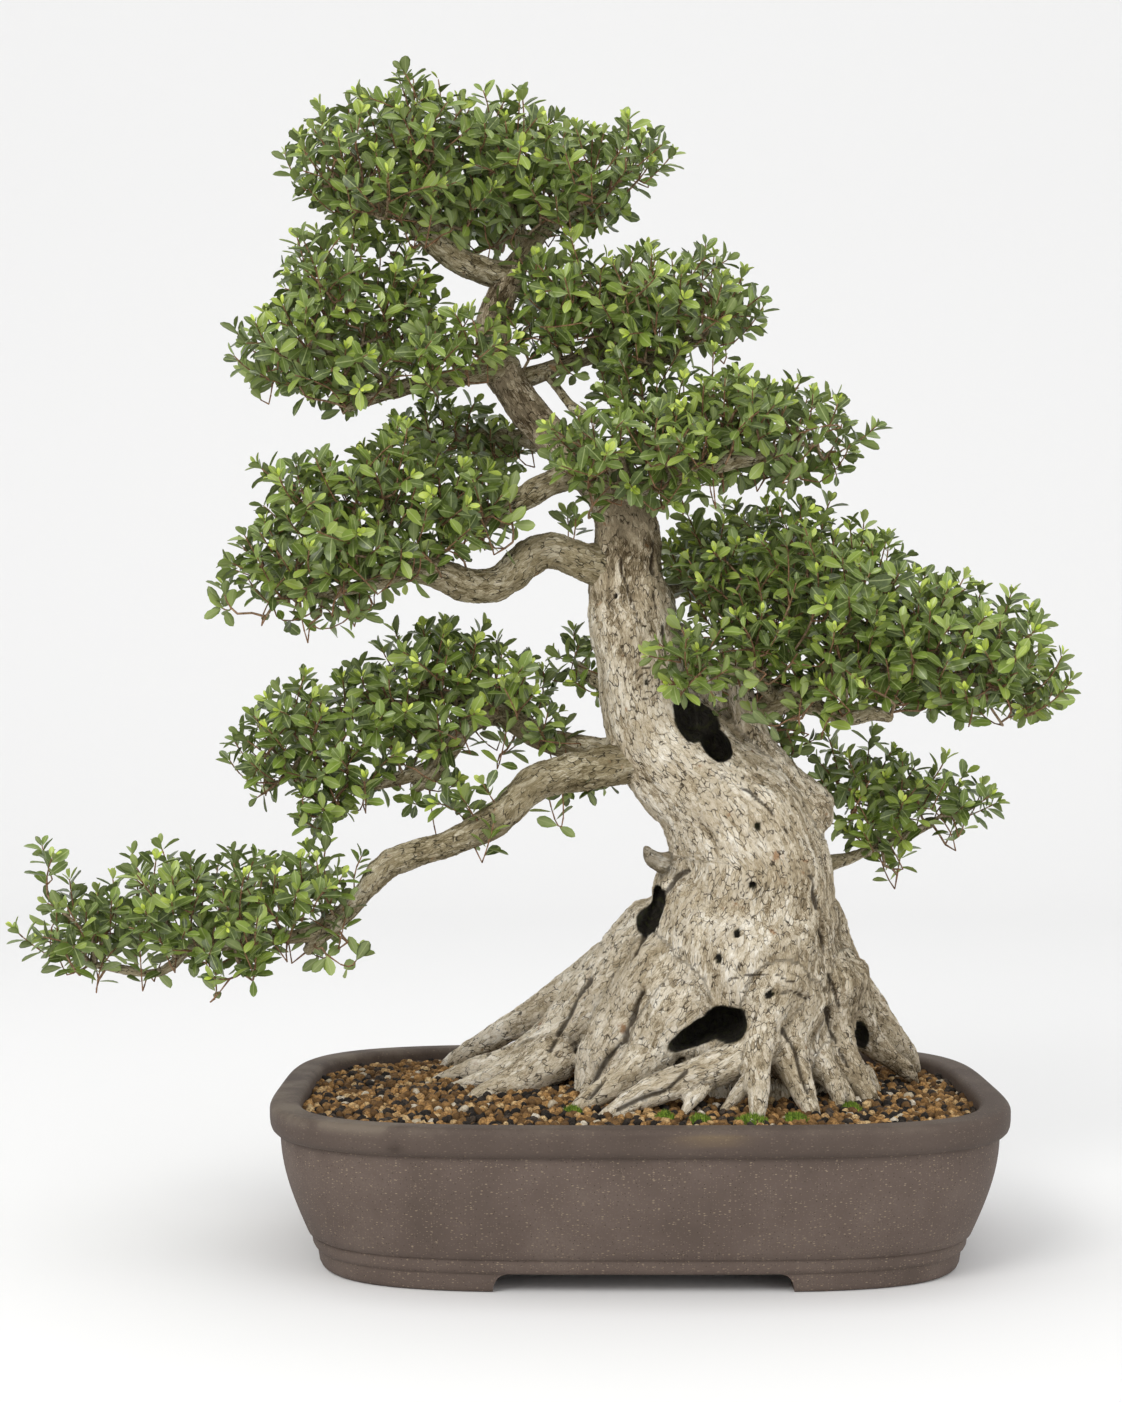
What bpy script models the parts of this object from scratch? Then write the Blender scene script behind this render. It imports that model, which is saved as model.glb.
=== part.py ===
"""Bonsai tree in an unglazed clay pot, in metres with +Z up and the front facing -Y.

Everything is laid out around the middle of the pot, whose feet stand at Z = 0, and hangs
from one empty that is moved at the end so that the whole box is centred on the origin.
The tree's routes are written in units of a tree that is TREE_UNITS tall above its foot.
Each route point is (x, y, z, radius), from the trunk's foot, with x to the right.
"""

import math

import bmesh
import bpy
from mathutils import Vector, noise

MM = 0.001
CLEARANCE = 0.3 * MM
CUT_CLEARANCE = 1.1 * MM      # the same where a faceted grown shape is cut round another
CREASE_LIMIT = 2.0            # how much further than that a sharp edge may be moved

# Pot
POT_LENGTH = 436 * MM
POT_DEPTH = 336 * MM
POT_HEIGHT = 96 * MM
POT_SIDES = 48
OUTER_SQUARENESS = 3.9
INNER_SQUARENESS = 4.1
WALL = 11.5 * MM
FLOOR = 10 * MM
RIM_WIDTH = 18 * MM
RIM_ROUND = 4 * MM
LIP_HEIGHT = 17 * MM
LIP_OVERHANG = 6 * MM
BODY_TAPER = 16 * MM
BAND_HEIGHT = 8 * MM
BAND_STEP = 2 * MM
FOOT_HEIGHT = 11 * MM
FOOT_STEP = 3.5 * MM
FOOT_ROUND = 4 * MM
FOOT_WIDTH = 24 * MM
UNDERSIDE_RISE = 1.5 * MM
FRONT_GAP = 168 * MM
SIDE_GAP = 120 * MM
GAP_CURVE = 8 * MM

# Drainage
HOLE_DIAMETER = 27 * MM
HOLE_SPACING = 190 * MM
SCREEN_OPENINGS = 4
SCREEN_PITCH = 9 * MM
SCREEN_BAR = 2 * MM
SCREEN_THICKNESS = 1.4 * MM
WIRE_DIAMETER = 1.6 * MM
WIRE_REACH = 26 * MM

# Soil
SOIL_BELOW_RIM = 10 * MM
SOIL_MOUND = 6 * MM
SOIL_BUMP = 0.8 * MM

# Tree
TREE_HEIGHT = 620 * MM
TREE_UNITS = 620
TREE_PLACE = 0.375
ROOT_UNITS_WIDE = 196
ROOT_UNITS_DEEP = 141
ROOT_ZONE = 90

TRUNK = [
    (-5, 18, -10, 60), (-7, 16, 26, 64), (-9, 12, 61, 64), (-10, 8, 89, 62), (-7, 4, 114, 58),
    (-5, 0, 136, 51), (-12, -2, 157, 46), (-25, -2, 177, 42), (-42, -2, 196, 38),
    (-59, 0, 215, 34), (-69, 0, 237, 29), (-73, 0, 261, 27), (-76, 0, 286, 27),
    (-80, 0, 307, 24), (-80, 0, 332, 21), (-83, 0, 353, 19), (-93, 0, 370, 17),
    (-111, 0, 386, 14), (-129, 0, 401, 12), (-145, 0, 419, 12), (-157, 0, 439, 11),
    (-163, 0, 458, 10.5), (-160, 0, 478, 10), (-150, 0, 500, 8.5), (-146, 2, 508, 6),
]
STRANDS = [
    [(25, 0, 166, 24), (11, -4, 189, 16), (-1, -6, 209, 11), (-8, -8, 229, 9), (-13, -4, 249, 8),
     (-20, 6, 270, 5)],
    [(8, 14, 181, 22), (-9, 18, 206, 16), (-21, 20, 229, 13), (-34, 18, 252, 12),
     (-50, 10, 276, 12)],
]
ROOTS = [
    [(-36, 22, 100, 30), (-82, 40, 71, 22), (-112, 52, 53, 14), (-138, 64, 36, 10),
     (-164, 78, 18, 8.5), (-188, 92, 1, 6), (-198, 98, -10, 3)],
    [(-53, 20, 85, 37), (-92, 24, 53, 25), (-119, 28, 28, 17), (-144, 34, 12, 12),
     (-172, 40, 5, 7.5), (-198, 50, -4, 3)],
    [(-134, 20, 15, 12), (-162, 18, 4, 7), (-188, 20, -4, 3)],
    [(-122, 8, 18, 16), (-146, -2, 4, 11), (-164, -14, -2, 8), (-178, -28, -7, 3)],
    [(-48, -5, 69, 36), (-73, -4, 38, 28), (-90, -6, 17, 20), (-100, -14, 0, 13),
     (-107, -22, -10, 5)],
    [(-37, -14, 64, 34), (-57, -26, 38, 21), (-71, -36, 21, 14), (-89, -52, 9, 9),
     (-104, -60, 2, 6.5), (-116, -70, -6, 3)],
    [(7, -36, 42, 15), (-12, -50, 29, 13), (-36, -60, 19, 11), (-60, -68, 12, 10),
     (-81, -78, 4, 7), (-99, -88, -5, 3)],
    [(-35, -62, 16, 7.5), (-43, -72, 6, 4.5), (-50, -78, -3, 2.5)],
    [(5, -34, 66, 24), (-2, -46, 44, 14), (-6, -62, 26, 9), (-7, -80, 11, 7), (-9, -94, -6, 4)],
    [(-8, -70, 19, 6), (-18, -70, 8, 4.5), (-28, -72, -4, 2.5)],
    [(17, -24, 56, 24), (13, -36, 33, 15), (17, -52, 17, 10), (22, -70, 4, 7), (26, -84, -5, 3.5)],
    [(28, -14, 36, 16), (33, -24, 21, 10), (40, -36, 11, 7), (43, -58, -4, 3)],
    [(38, -30, 16, 6.5), (47, -38, 6, 5), (53, -46, -4, 2.5)],
    [(39, -2, 62, 27), (42, -8, 37, 17), (51, -16, 17, 11), (59, -26, 4, 8), (67, -36, -5, 3)],
    [(55, -8, 19, 7.5), (65, -6, 9, 5), (71, -8, -2, 2.5)],
    [(48, 18, 62, 24), (65, 24, 32, 13), (81, 30, 16, 7.5), (95, 38, 4, 5.5), (102, 46, -7, 2.5)],
    [(26, 26, 96, 30), (52, 42, 58, 23), (80, 58, 28, 14), (100, 70, 8, 7.5), (107, 78, -8, 3)],
    [(-12, 30, 84, 36), (-30, 62, 46, 24), (-47, 92, 21, 12), (-58, 118, -6, 4)],
    [(16, 34, 82, 34), (32, 72, 44, 23), (44, 102, 18, 11), (52, 124, -6, 4)],
    [(-34, 32, 72, 32), (-74, 68, 34, 17), (-100, 96, 10, 8.5), (-114, 112, -8, 3.5)],
]
STUB = [(-42, -8, 133, 9), (-56, -12, 137, 7.5), (-66, -14, 142, 5.5), (-70, -14, 149, 2.5)]

# Hollows in the wood: centre, half sizes, lean to the right in degrees
HOLLOWS = [
    ((-44, -26, 227), (8, 20, 15), -18),
    ((-33, -26, 228), (9, 20, 17), 0),
    ((-28, -25, 211), (8, 18, 13), -28),
    ((-34, -46, 42), (7, 30, 24), 62),
    ((-24, -46, 46), (12, 28, 10), 0),
    ((63, -2, 28), (7, 22, 12), -10),
    ((-64, -8, 110), (11, 14, 16), 35),
]

BRANCHES = {
    "branch_lowest_left": [
        [(-66, -8, 202, 13), (-97, -12, 197, 12), (-119, -16, 193, 11), (-140, -22, 185, 11),
         (-156, -26, 169, 9.5), (-176, -30, 157, 9), (-199, -34, 148, 8.5), (-224, -38, 140, 9),
         (-237, -40, 125, 7), (-252, -44, 108, 6), (-264, -46, 97, 4.5), (-271, -48, 89, 3)],
        [(-249, -44, 111, 5), (-275, -50, 98, 4.5), (-297, -54, 98, 4), (-321, -54, 93, 4),
         (-341, -50, 90, 3.5), (-352, -48, 80, 3.5), (-365, -48, 76, 3), (-400, -43, 81, 2.5)],
    ],
    "branch_lower_left": [
        [(-72, 10, 208, 9.5), (-103, 18, 207, 8.5), (-131, 24, 213, 8), (-147, 26, 223, 7.5),
         (-162, 26, 229, 7.5), (-178, 24, 223, 7.5), (-189, 22, 210, 7), (-199, 20, 194, 6),
         (-210, 20, 184, 4)],
        [(-196, 20, 198, 5), (-221, 16, 189, 4.5), (-242, 12, 185, 3.5), (-266, 10, 190, 3),
         (-288, 8, 196, 2.5)],
        [(-160, 26, 229, 5), (-184, 34, 237, 4.5), (-205, 38, 242, 3)],
    ],
    "branch_middle_left": [
        [(-80, -4, 313, 14), (-111, -8, 324, 12), (-128, -10, 328, 11.5), (-143, -14, 322, 11),
         (-158, -18, 309, 10.5), (-176, -22, 307, 9.5), (-194, -26, 314, 9), (-209, -28, 316, 8),
         (-224, -30, 311, 6), (-248, -30, 304, 4), (-278, -28, 299, 3)],
        [(-194, -26, 314, 5.5), (-217, -34, 327, 4), (-240, -38, 335, 3)],
    ],
    "branch_above_middle_left": [
        [(-92, -4, 376, 9), (-108, -10, 375, 7.5), (-120, -14, 372, 7.5), (-134, -18, 365, 7.5),
         (-146, -20, 356, 6), (-158, -20, 346, 5), (-178, -18, 349, 3.5)],
    ],
    "branch_upper_left": [
        [(-152, 0, 442, 8), (-179, -14, 434, 6), (-203, -20, 429, 5.5), (-227, -24, 423, 5.5),
         (-241, -26, 417, 4), (-249, -26, 413, 3)],
        [(-218, -22, 425, 4), (-242, -20, 442, 3.5), (-268, -18, 450, 3)],
    ],
    "crown_limb": [
        [(-151, 0, 497, 8), (-163, -4, 498, 8.5), (-179, -10, 503, 8), (-194, -14, 511, 7.5),
         (-205, -16, 520, 6), (-220, -18, 532, 4), (-240, -20, 541, 3)],
        [(-194, -14, 511, 5), (-201, -10, 538, 3.5), (-206, -6, 560, 2.5)],
    ],
    "crown_leader": [
        [(-152, 2, 499, 7), (-143, 6, 512, 6), (-127, 10, 530, 4.5), (-103, 10, 545, 3)],
        [(-143, 6, 512, 5), (-149, 10, 538, 3.5), (-156, 14, 560, 2.5)],
    ],
    "branch_upper_right": [
        [(-160, 2, 431, 7.5), (-131, 8, 440, 5.5), (-112, 10, 446, 5.5), (-96, 10, 451, 6),
         (-79, 8, 445, 5.5), (-57, 6, 449, 4.5), (-34, 4, 460, 3)],
        [(-96, 10, 451, 4.5), (-97, 8, 470, 3.5), (-102, 4, 484, 2.5)],
        [(-129, 6, 438, 3), (-120, -4, 424, 3), (-112, -12, 414, 3), (-98, -24, 405, 2.5)],
    ],
    "branch_right_middle": [
        [(-88, 0, 362, 9), (-70, -22, 366, 7), (-44, -34, 374, 6), (-14, -36, 381, 5),
         (14, -32, 385, 3.5)],
        [(-97, 4, 374, 7), (-66, 20, 396, 5.5), (-36, 30, 412, 4)],
    ],
    "branch_big_right": [
        [(-10, 2, 226, 9), (6, -2, 235, 9.5), (25, -8, 243, 8.5), (45, -12, 249, 7.5),
         (72, -16, 254, 5.5), (102, -20, 254, 4), (130, -22, 248, 3)],
        [(18, -8, 239, 6), (39, -18, 231, 5.5), (53, -24, 227, 5), (66, -28, 230, 5),
         (77, -30, 227, 3.5)],
        [(45, -12, 249, 5.5), (55, -4, 273, 4.5), (62, 0, 292, 3)],
        [(9, -4, 239, 5.5), (-8, -40, 252, 4), (-30, -60, 256, 3)],
    ],
    "branch_low_right": [
        [(18, 22, 168, 6.5), (38, 34, 170, 4.5), (51, 38, 176, 4), (68, 42, 177, 3),
         (90, 44, 182, 2.5)],
    ],
    "branch_low_right_under": [
        [(34, 22, 134, 6.5), (57, 34, 138, 4), (74, 38, 144, 3.5), (92, 40, 150, 3),
         (112, 40, 160, 2.5)],
    ],
    "branch_behind_left": [
        [(-78, 8, 240, 6.5), (-99, 34, 249, 4.5), (-110, 46, 260, 3)],
    ],
    "branch_back_right": [
        [(-74, 8, 298, 9), (-54, 44, 306, 7), (-38, 80, 317, 6), (-24, 108, 327, 4)],
    ],
    "branch_back_left": [
        [(-122, 4, 394, 8), (-148, 34, 402, 5.5), (-172, 56, 407, 4)],
    ],
}

# Foliage lobes: centre x, y, z, then half width, half depth, half height
FOLIAGE = {
    "foliage_crown": [
        (-248, -10, 560, 38, 62, 38), (-206, 0, 580, 42, 78, 36), (-158, 10, 570, 44, 84, 38),
        (-112, 5, 558, 38, 70, 30), (-76, 0, 568, 28, 44, 18), (-218, -18, 540, 42, 70, 23),
        (-172, 25, 544, 44, 76, 22), (-116, 0, 538, 34, 56, 16), (-278, -10, 564, 18, 22, 10),
    ],
    "foliage_upper_left": [
        (-258, -15, 486, 38, 62, 33), (-226, 0, 476, 32, 58, 32), (-280, -20, 452, 36, 58, 25),
        (-248, -20, 436, 36, 52, 22), (-308, -15, 442, 22, 28, 12),
    ],
    "foliage_upper_front": [
        (-198, -50, 444, 28, 32, 22), (-170, -46, 450, 25, 30, 22),
    ],
    "foliage_upper_right": [
        (-116, 0, 484, 40, 66, 28), (-72, 8, 480, 44, 70, 33), (-36, 5, 482, 34, 58, 30),
        (-8, 0, 478, 20, 30, 14), (-72, 5, 456, 37, 56, 18), (-124, -10, 464, 30, 48, 18),
    ],
    "foliage_right_middle": [
        (-98, -58, 384, 34, 42, 29), (-60, -40, 386, 38, 56, 33), (-18, -18, 406, 42, 66, 36),
        (18, -10, 398, 34, 58, 32), (46, -10, 392, 22, 34, 16), (-70, -8, 424, 32, 42, 20),
    ],
    "foliage_back_left": [
        (-192, 62, 408, 43, 42, 22), (-158, 52, 392, 22, 28, 16),
    ],
    "foliage_middle_left": [
        (-218, -20, 370, 47, 62, 29), (-180, -10, 360, 33, 56, 31), (-266, -25, 358, 38, 58, 28),
        (-248, -30, 328, 46, 62, 25), (-290, -25, 324, 30, 48, 28), (-200, -30, 336, 36, 48, 19),
        (-314, -22, 300, 24, 28, 11), (-254, -25, 298, 25, 34, 14),
    ],
    "foliage_big_right": [
        (-24, 10, 322, 34, 58, 32), (16, 0, 322, 42, 70, 38), (54, -10, 304, 46, 80, 41),
        (100, -15, 280, 46, 76, 38), (138, -20, 264, 36, 62, 34), (166, -20, 244, 27, 38, 18),
        (0, -15, 280, 39, 66, 35), (48, -20, 260, 45, 66, 27), (120, -20, 242, 34, 50, 19),
        (-46, -64, 262, 28, 28, 24),
    ],
    "foliage_back_right": [
        (-16, 118, 330, 50, 42, 30), (32, 112, 318, 40, 38, 28),
    ],
    "foliage_lower_left": [
        (-196, 30, 258, 39, 56, 29), (-156, 28, 244, 34, 50, 31), (-134, 22, 220, 20, 32, 15),
        (-234, 20, 236, 37, 52, 26), (-270, 5, 224, 37, 52, 29), (-300, 0, 204, 28, 44, 25),
        (-256, 0, 196, 37, 44, 23), (-268, 0, 172, 18, 26, 17), (-204, 22, 224, 36, 46, 24),
    ],
    "foliage_lowest_left": [
        (-398, -45, 103, 40, 42, 27), (-352, -48, 116, 39, 46, 33), (-308, -50, 116, 36, 46, 34),
        (-270, -45, 124, 30, 42, 28), (-424, -42, 92, 25, 30, 15), (-427, -40, 136, 9, 12, 26),
        (-316, -52, 90, 30, 38, 19),
    ],
    "foliage_low_right": [
        (66, 38, 190, 39, 38, 25), (104, 40, 178, 35, 38, 22), (130, 40, 174, 27, 30, 15),
        (82, 38, 156, 31, 30, 15),
    ],
    "foliage_behind_trunk": [(-112, 48, 262, 17, 24, 21)],
    "tuft_middle_left": [(-113, -8, 341, 13, 17, 12)],
    "tuft_under_lowest_branch": [(-116, -4, 177, 20, 19, 13)],
    "tuft_over_lowest_branch": [(-180, -26, 174, 24, 18, 13)],
    "tuft_low_right": [(24, 28, 212, 16, 18, 23)],
}

# Fineness: the voxel that fuses a shape and the triangles that it is then kept to
WOOD_VOXEL = 2.6 * MM
TRUNK_TRIANGLES = 3400
BRANCH_VOXEL = 1.5 * MM
SMOOTH_PASSES = 4
BRANCH_TRIANGLES = 40
BRANCH_TRIANGLES_PER_POINT = 20
FOLIAGE_VOXEL = 5 * MM
FOLIAGE_TRIANGLES_PER_LOBE = 22
FOLIAGE_TRIANGLES_BASE = 50
FOLIAGE_SWELL = 2.5 * MM
FOLIAGE_LUMP = 4 * MM
FOLIAGE_LUMP_SPACING = 30 * MM
TUBE_SIDES = 12
ROUTE_STEP = 5


# ---------------------------------------------------------------- scene and materials

def clear_scene():
    """Remove every object that the file already holds."""
    for item in list(bpy.data.objects):
        bpy.data.objects.remove(item, do_unlink=True)


def material(name, colour, roughness, metallic=0.0):
    """A Principled material with one colour, given as linear red, green and blue."""
    found = bpy.data.materials.new(name)
    found.use_nodes = True
    surface = found.node_tree.nodes["Principled BSDF"]
    surface.inputs["Base Color"].default_value = (*colour, 1.0)
    surface.inputs["Roughness"].default_value = roughness
    surface.inputs["Metallic"].default_value = metallic
    found.diffuse_color = (*colour, 1.0)
    return found


def add_piece(name, mesh, surface, holder):
    """Link a finished mesh into the scene as one named sub-part under the holder."""
    piece = bpy.data.objects.new(name, mesh)
    piece.data.materials.append(surface)
    piece.parent = holder
    bpy.context.collection.objects.link(piece)
    return piece


# ---------------------------------------------------------------- mesh tools

def mesh_from(builder):
    """Turn a bmesh into a triangulated mesh with its faces pointing out."""
    bmesh.ops.recalc_face_normals(builder, faces=builder.faces)
    bmesh.ops.triangulate(builder, faces=builder.faces)
    mesh = bpy.data.meshes.new("shape")
    builder.to_mesh(mesh)
    builder.free()
    return mesh


def modified(mesh, *settings):
    """Run a mesh through modifiers, each given as (type, {property: value})."""
    carrier = bpy.data.objects.new("carrier", mesh)
    bpy.context.collection.objects.link(carrier)
    for kind, values in settings:
        modifier = carrier.modifiers.new(kind.title(), kind)
        for key, value in values.items():
            setattr(modifier, key, value)
    evaluated = carrier.evaluated_get(bpy.context.evaluated_depsgraph_get())
    result = bpy.data.meshes.new_from_object(evaluated)
    bpy.data.objects.remove(carrier, do_unlink=True)
    return result


def fused(mesh, voxel, triangles):
    """Fuse overlapping closed shapes into one skin and thin it to a number of triangles."""
    whole = modified(mesh, ("REMESH", {"mode": "VOXEL", "voxel_size": voxel}),
                     ("SMOOTH", {"factor": 0.5, "iterations": SMOOTH_PASSES}), ("TRIANGULATE", {}))
    ratio = min(1.0, triangles / len(whole.polygons))
    return modified(whole, ("DECIMATE", {"ratio": ratio, "use_collapse_triangulate": True}))


def subtract(mesh, *cutters):
    """Cut meshes out of a mesh, one after another."""
    for cutter in cutters:
        tool = bpy.data.objects.new("cutter", cutter)
        tool.hide_render = True
        tool.display_type = 'WIRE'
        bpy.context.collection.objects.link(tool)
        mesh = modified(mesh, ("BOOLEAN", {"operation": 'DIFFERENCE', "solver": 'EXACT',
                                           "use_self": True, "object": tool}))
        bpy.data.objects.remove(tool, do_unlink=True)
    return mesh


def grown(mesh, distance):
    """A copy of a mesh with every vertex moved out along its normal."""
    builder = bmesh.new()
    builder.from_mesh(mesh)
    builder.normal_update()
    shifts = [corner.normal * min(corner.calc_shell_factor(), CREASE_LIMIT) * distance
              for corner in builder.verts]
    for corner, shift in zip(builder.verts, shifts):
        corner.co += shift
    return mesh_from(builder)


def main_body(mesh):
    """Keep the largest connected body and drop the slivers that a cut leaves."""
    builder = bmesh.new()
    builder.from_mesh(mesh)
    bmesh.ops.triangulate(builder, faces=builder.faces)
    bmesh.ops.dissolve_degenerate(builder, dist=0.01 * MM, edges=builder.edges)
    bmesh.ops.triangulate(builder, faces=builder.faces)
    unseen = set(builder.faces)
    bodies = []
    while unseen:
        front = [unseen.pop()]
        body = set(front)
        while front:
            near = {face for edge in front.pop().edges for face in edge.link_faces} & unseen
            unseen -= near
            body |= near
            front.extend(near)
        bodies.append(body)
    largest = max(bodies, key=lambda body: sum(face.calc_area() for face in body))
    extra = [face for body in bodies if body is not largest for face in body]
    bmesh.ops.delete(builder, geom=extra, context='FACES')
    loose = [corner for corner in builder.verts if not corner.link_faces]
    bmesh.ops.delete(builder, geom=loose, context='VERTS')
    result = bpy.data.meshes.new("shape")
    builder.to_mesh(result)
    builder.free()
    return result


def box_of(mesh):
    """The lowest and highest corner of a mesh."""
    corners = [vertex.co for vertex in mesh.vertices]
    low = Vector([min(corner[axis] for corner in corners) for axis in range(3)])
    high = Vector([max(corner[axis] for corner in corners) for axis in range(3)])
    return low, high


def near(first, second):
    """Whether the boxes of two meshes come within a clearance of each other."""
    low_a, high_a = box_of(first)
    low_b, high_b = box_of(second)
    return all(low_a[axis] - CUT_CLEARANCE < high_b[axis]
               and low_b[axis] - CUT_CLEARANCE < high_a[axis] for axis in range(3))


def cleared(mesh, neighbours):
    """Cut a mesh clear of the neighbours that it comes near.

    A grown neighbour leaves the clearance, and the neighbour as it is removes what a fold in the
    grown one would leave.
    """
    close = [other for other in neighbours if near(mesh, other)]
    cutters = [cutter for other in close for cutter in (grown(other, CUT_CLEARANCE), other.copy())]
    return main_body(subtract(mesh, *cutters))


# ---------------------------------------------------------------- ring and tube shapes

def skin(builder, rings):
    """Join rings of points into one closed shape with a flat cap at each end."""
    rows = [[builder.verts.new(point) for point in ring] for ring in rings]
    count = len(rows[0])
    for lower, upper in zip(rows, rows[1:]):
        for index in range(count):
            after = (index + 1) % count
            builder.faces.new((lower[index], lower[after], upper[after], upper[index]))
    builder.faces.new(rows[0][::-1])
    builder.faces.new(rows[-1])


def smooth_route(route):
    """Points every ROUTE_STEP units along a smooth curve through a route's points."""
    ends = [route[0], *route, route[-1]]
    points = []
    for before, start, stop, after in zip(ends, ends[1:], ends[2:], ends[3:]):
        length = math.dist(start[:3], stop[:3])
        steps = max(2, round(length / ROUTE_STEP))
        for step in range(steps):
            share = step / steps
            points.append([catmull(before[k], start[k], stop[k], after[k], share)
                           for k in range(4)])
    points.append(list(route[-1]))
    return points


def catmull(before, start, stop, after, share):
    """One value on a Catmull-Rom curve between start and stop."""
    return 0.5 * (2 * start + (stop - before) * share
                  + (2 * before - 5 * start + 4 * stop - after) * share ** 2
                  + (3 * start - 3 * stop + after - before) * share ** 3)


def tube_rings(points):
    """Round rings across a route, from (position, radius) pairs, with rounded ends."""
    rings = []
    across = Vector((0, 1, 0))
    last = len(points) - 1
    for index, (centre, radius) in enumerate(points):
        along = (points[min(index + 1, last)][0] - points[max(index - 1, 0)][0]).normalized()
        across = (across - along * across.dot(along)).normalized()
        side = along.cross(across)
        frame = (centre, along, across, side, radius)
        if index == 0:
            rings.append(ring_at(frame, -0.7, 0.7))
        rings.append(ring_at(frame, 0, 1))
        if index == last:
            rings.append(ring_at(frame, 0.7, 0.7))
    return rings


def ring_at(frame, ahead, share):
    """One ring, moved ahead along the tube and narrowed, both as shares of its radius."""
    centre, along, across, side, radius = frame
    middle = centre + along * (radius * ahead)
    ring = []
    for step in range(TUBE_SIDES):
        angle = math.tau * step / TUBE_SIDES
        out = across * math.cos(angle) + side * math.sin(angle)
        ring.append(middle + out * (radius * share))
    return ring


# ---------------------------------------------------------------- pot

def plan_ring(inset, height, squareness=OUTER_SQUARENESS):
    """A rounded-oblong ring of the pot's plan, inset from its outermost edge."""
    half_length = POT_LENGTH / 2 - inset
    half_depth = POT_DEPTH / 2 - inset
    ring = []
    for step in range(POT_SIDES):
        angle = math.tau * (step + 0.5) / POT_SIDES
        east = math.copysign(abs(math.cos(angle)) ** (2 / squareness), math.cos(angle))
        north = math.copysign(abs(math.sin(angle)) ** (2 / squareness), math.sin(angle))
        ring.append(Vector((half_length * east, half_depth * north, height)))
    return ring


BODY_BOTTOM = FOOT_HEIGHT + BAND_HEIGHT
BODY_TOP = POT_HEIGHT - LIP_HEIGHT
FLOOR_TOP = FOOT_HEIGHT + UNDERSIDE_RISE + FLOOR
BAND_INSET = LIP_OVERHANG + BODY_TAPER + BAND_STEP
FOOT_INSET = BAND_INSET + FOOT_STEP


def body_inset(height):
    """How far the body's outer face is inside the rim's edge at a height."""
    share = (height - BODY_BOTTOM) / (BODY_TOP - BODY_BOTTOM)
    share = max(0.0, min(1.0, share))
    return LIP_OVERHANG + BODY_TAPER * (1 - math.sin(share * math.pi / 2))


def outer_profile():
    """The pot's outer side from the foot's underside up to the rim, as (inset, height)."""
    rows = [(FOOT_INSET + FOOT_ROUND, 0), (FOOT_INSET + FOOT_ROUND * 0.4, FOOT_HEIGHT * 0.1),
            (FOOT_INSET + FOOT_ROUND * 0.1, FOOT_HEIGHT * 0.4),
            (FOOT_INSET - FOOT_STEP * 0.2, FOOT_HEIGHT)]
    rows += [(BAND_INSET + BAND_STEP * 0.6, FOOT_HEIGHT + BAND_HEIGHT * 0.15),
             (BAND_INSET, FOOT_HEIGHT + BAND_HEIGHT * 0.5),
             (BAND_INSET - BAND_STEP * 0.2, FOOT_HEIGHT + BAND_HEIGHT * 0.85),
             (BAND_INSET + BAND_STEP * 0.1, BODY_BOTTOM)]
    for share in (0.03, 0.2, 0.4, 0.6, 0.8, 1.0):
        height = BODY_BOTTOM + (BODY_TOP - BODY_BOTTOM) * share
        rows.append((body_inset(height), height))
    rows += [(LIP_OVERHANG * 0.45, BODY_TOP + LIP_HEIGHT * 0.1),
             (LIP_OVERHANG * 0.1, BODY_TOP + LIP_HEIGHT * 0.28), (0, BODY_TOP + LIP_HEIGHT * 0.5)]
    return rows + rim_arc(0, 1)


def rim_arc(inset, direction):
    """Three points round an upper edge of the rim, outside or inside."""
    rows = []
    for step in range(3):
        angle = math.pi / 2 * (step if direction > 0 else 2 - step) / 2
        rows.append((inset + direction * RIM_ROUND * (1 - math.cos(angle)),
                     POT_HEIGHT - RIM_ROUND * (1 - math.sin(angle))))
    return rows


def inner_inset(height):
    """How far the pot's inner face is inside the rim's edge at a height."""
    return max(RIM_WIDTH, body_inset(height) + WALL)


def inner_heights(top, bottom):
    """Heights down the inner face, closer together where it curves into the floor."""
    return [top + (bottom - top) * share for share in (0, 0.35, 0.65, 0.88)]


def inner_profile(gap, top):
    """The inner face from a height down to the floor, kept a gap inside the clay."""
    low = FLOOR_TOP + gap
    rows = [(inner_inset(height) + gap, height) for height in inner_heights(top, low)]
    rows.append((inner_inset(low) + gap + WALL * 0.8, low))
    return rows


def gap_prism(gap, reach):
    """The open space between two feet, with curved ends, running past the pot each way."""
    half = gap / 2
    outline = [(half, -FOOT_HEIGHT), (half, 0), (half - GAP_CURVE * 0.12, FOOT_HEIGHT * 0.45),
               (half - GAP_CURVE * 0.45, FOOT_HEIGHT * 0.85), (half - GAP_CURVE, FOOT_HEIGHT)]
    outline += [(-across, height) for across, height in outline[::-1]]
    builder = bmesh.new()
    skin(builder, [[Vector((across, side, height)) for across, height in outline]
                   for side in (-reach, reach)])
    return builder


def feet_cutters():
    """What is taken away under the pot to leave four corner feet."""
    recess = bmesh.new()
    skin(recess, [plan_ring(FOOT_INSET + FOOT_WIDTH, -FOOT_HEIGHT),
                  plan_ring(FOOT_INSET + FOOT_WIDTH, FOOT_HEIGHT + UNDERSIDE_RISE)])
    front = gap_prism(FRONT_GAP, POT_DEPTH)
    side = gap_prism(SIDE_GAP, POT_LENGTH)
    for corner in side.verts:
        corner.co = Vector((corner.co.y, -corner.co.x, corner.co.z))
    return [mesh_from(recess), mesh_from(front), mesh_from(side)]


def hole_places():
    """Where the two drain holes stand along the pot."""
    return [-HOLE_SPACING / 2, HOLE_SPACING / 2]


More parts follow.
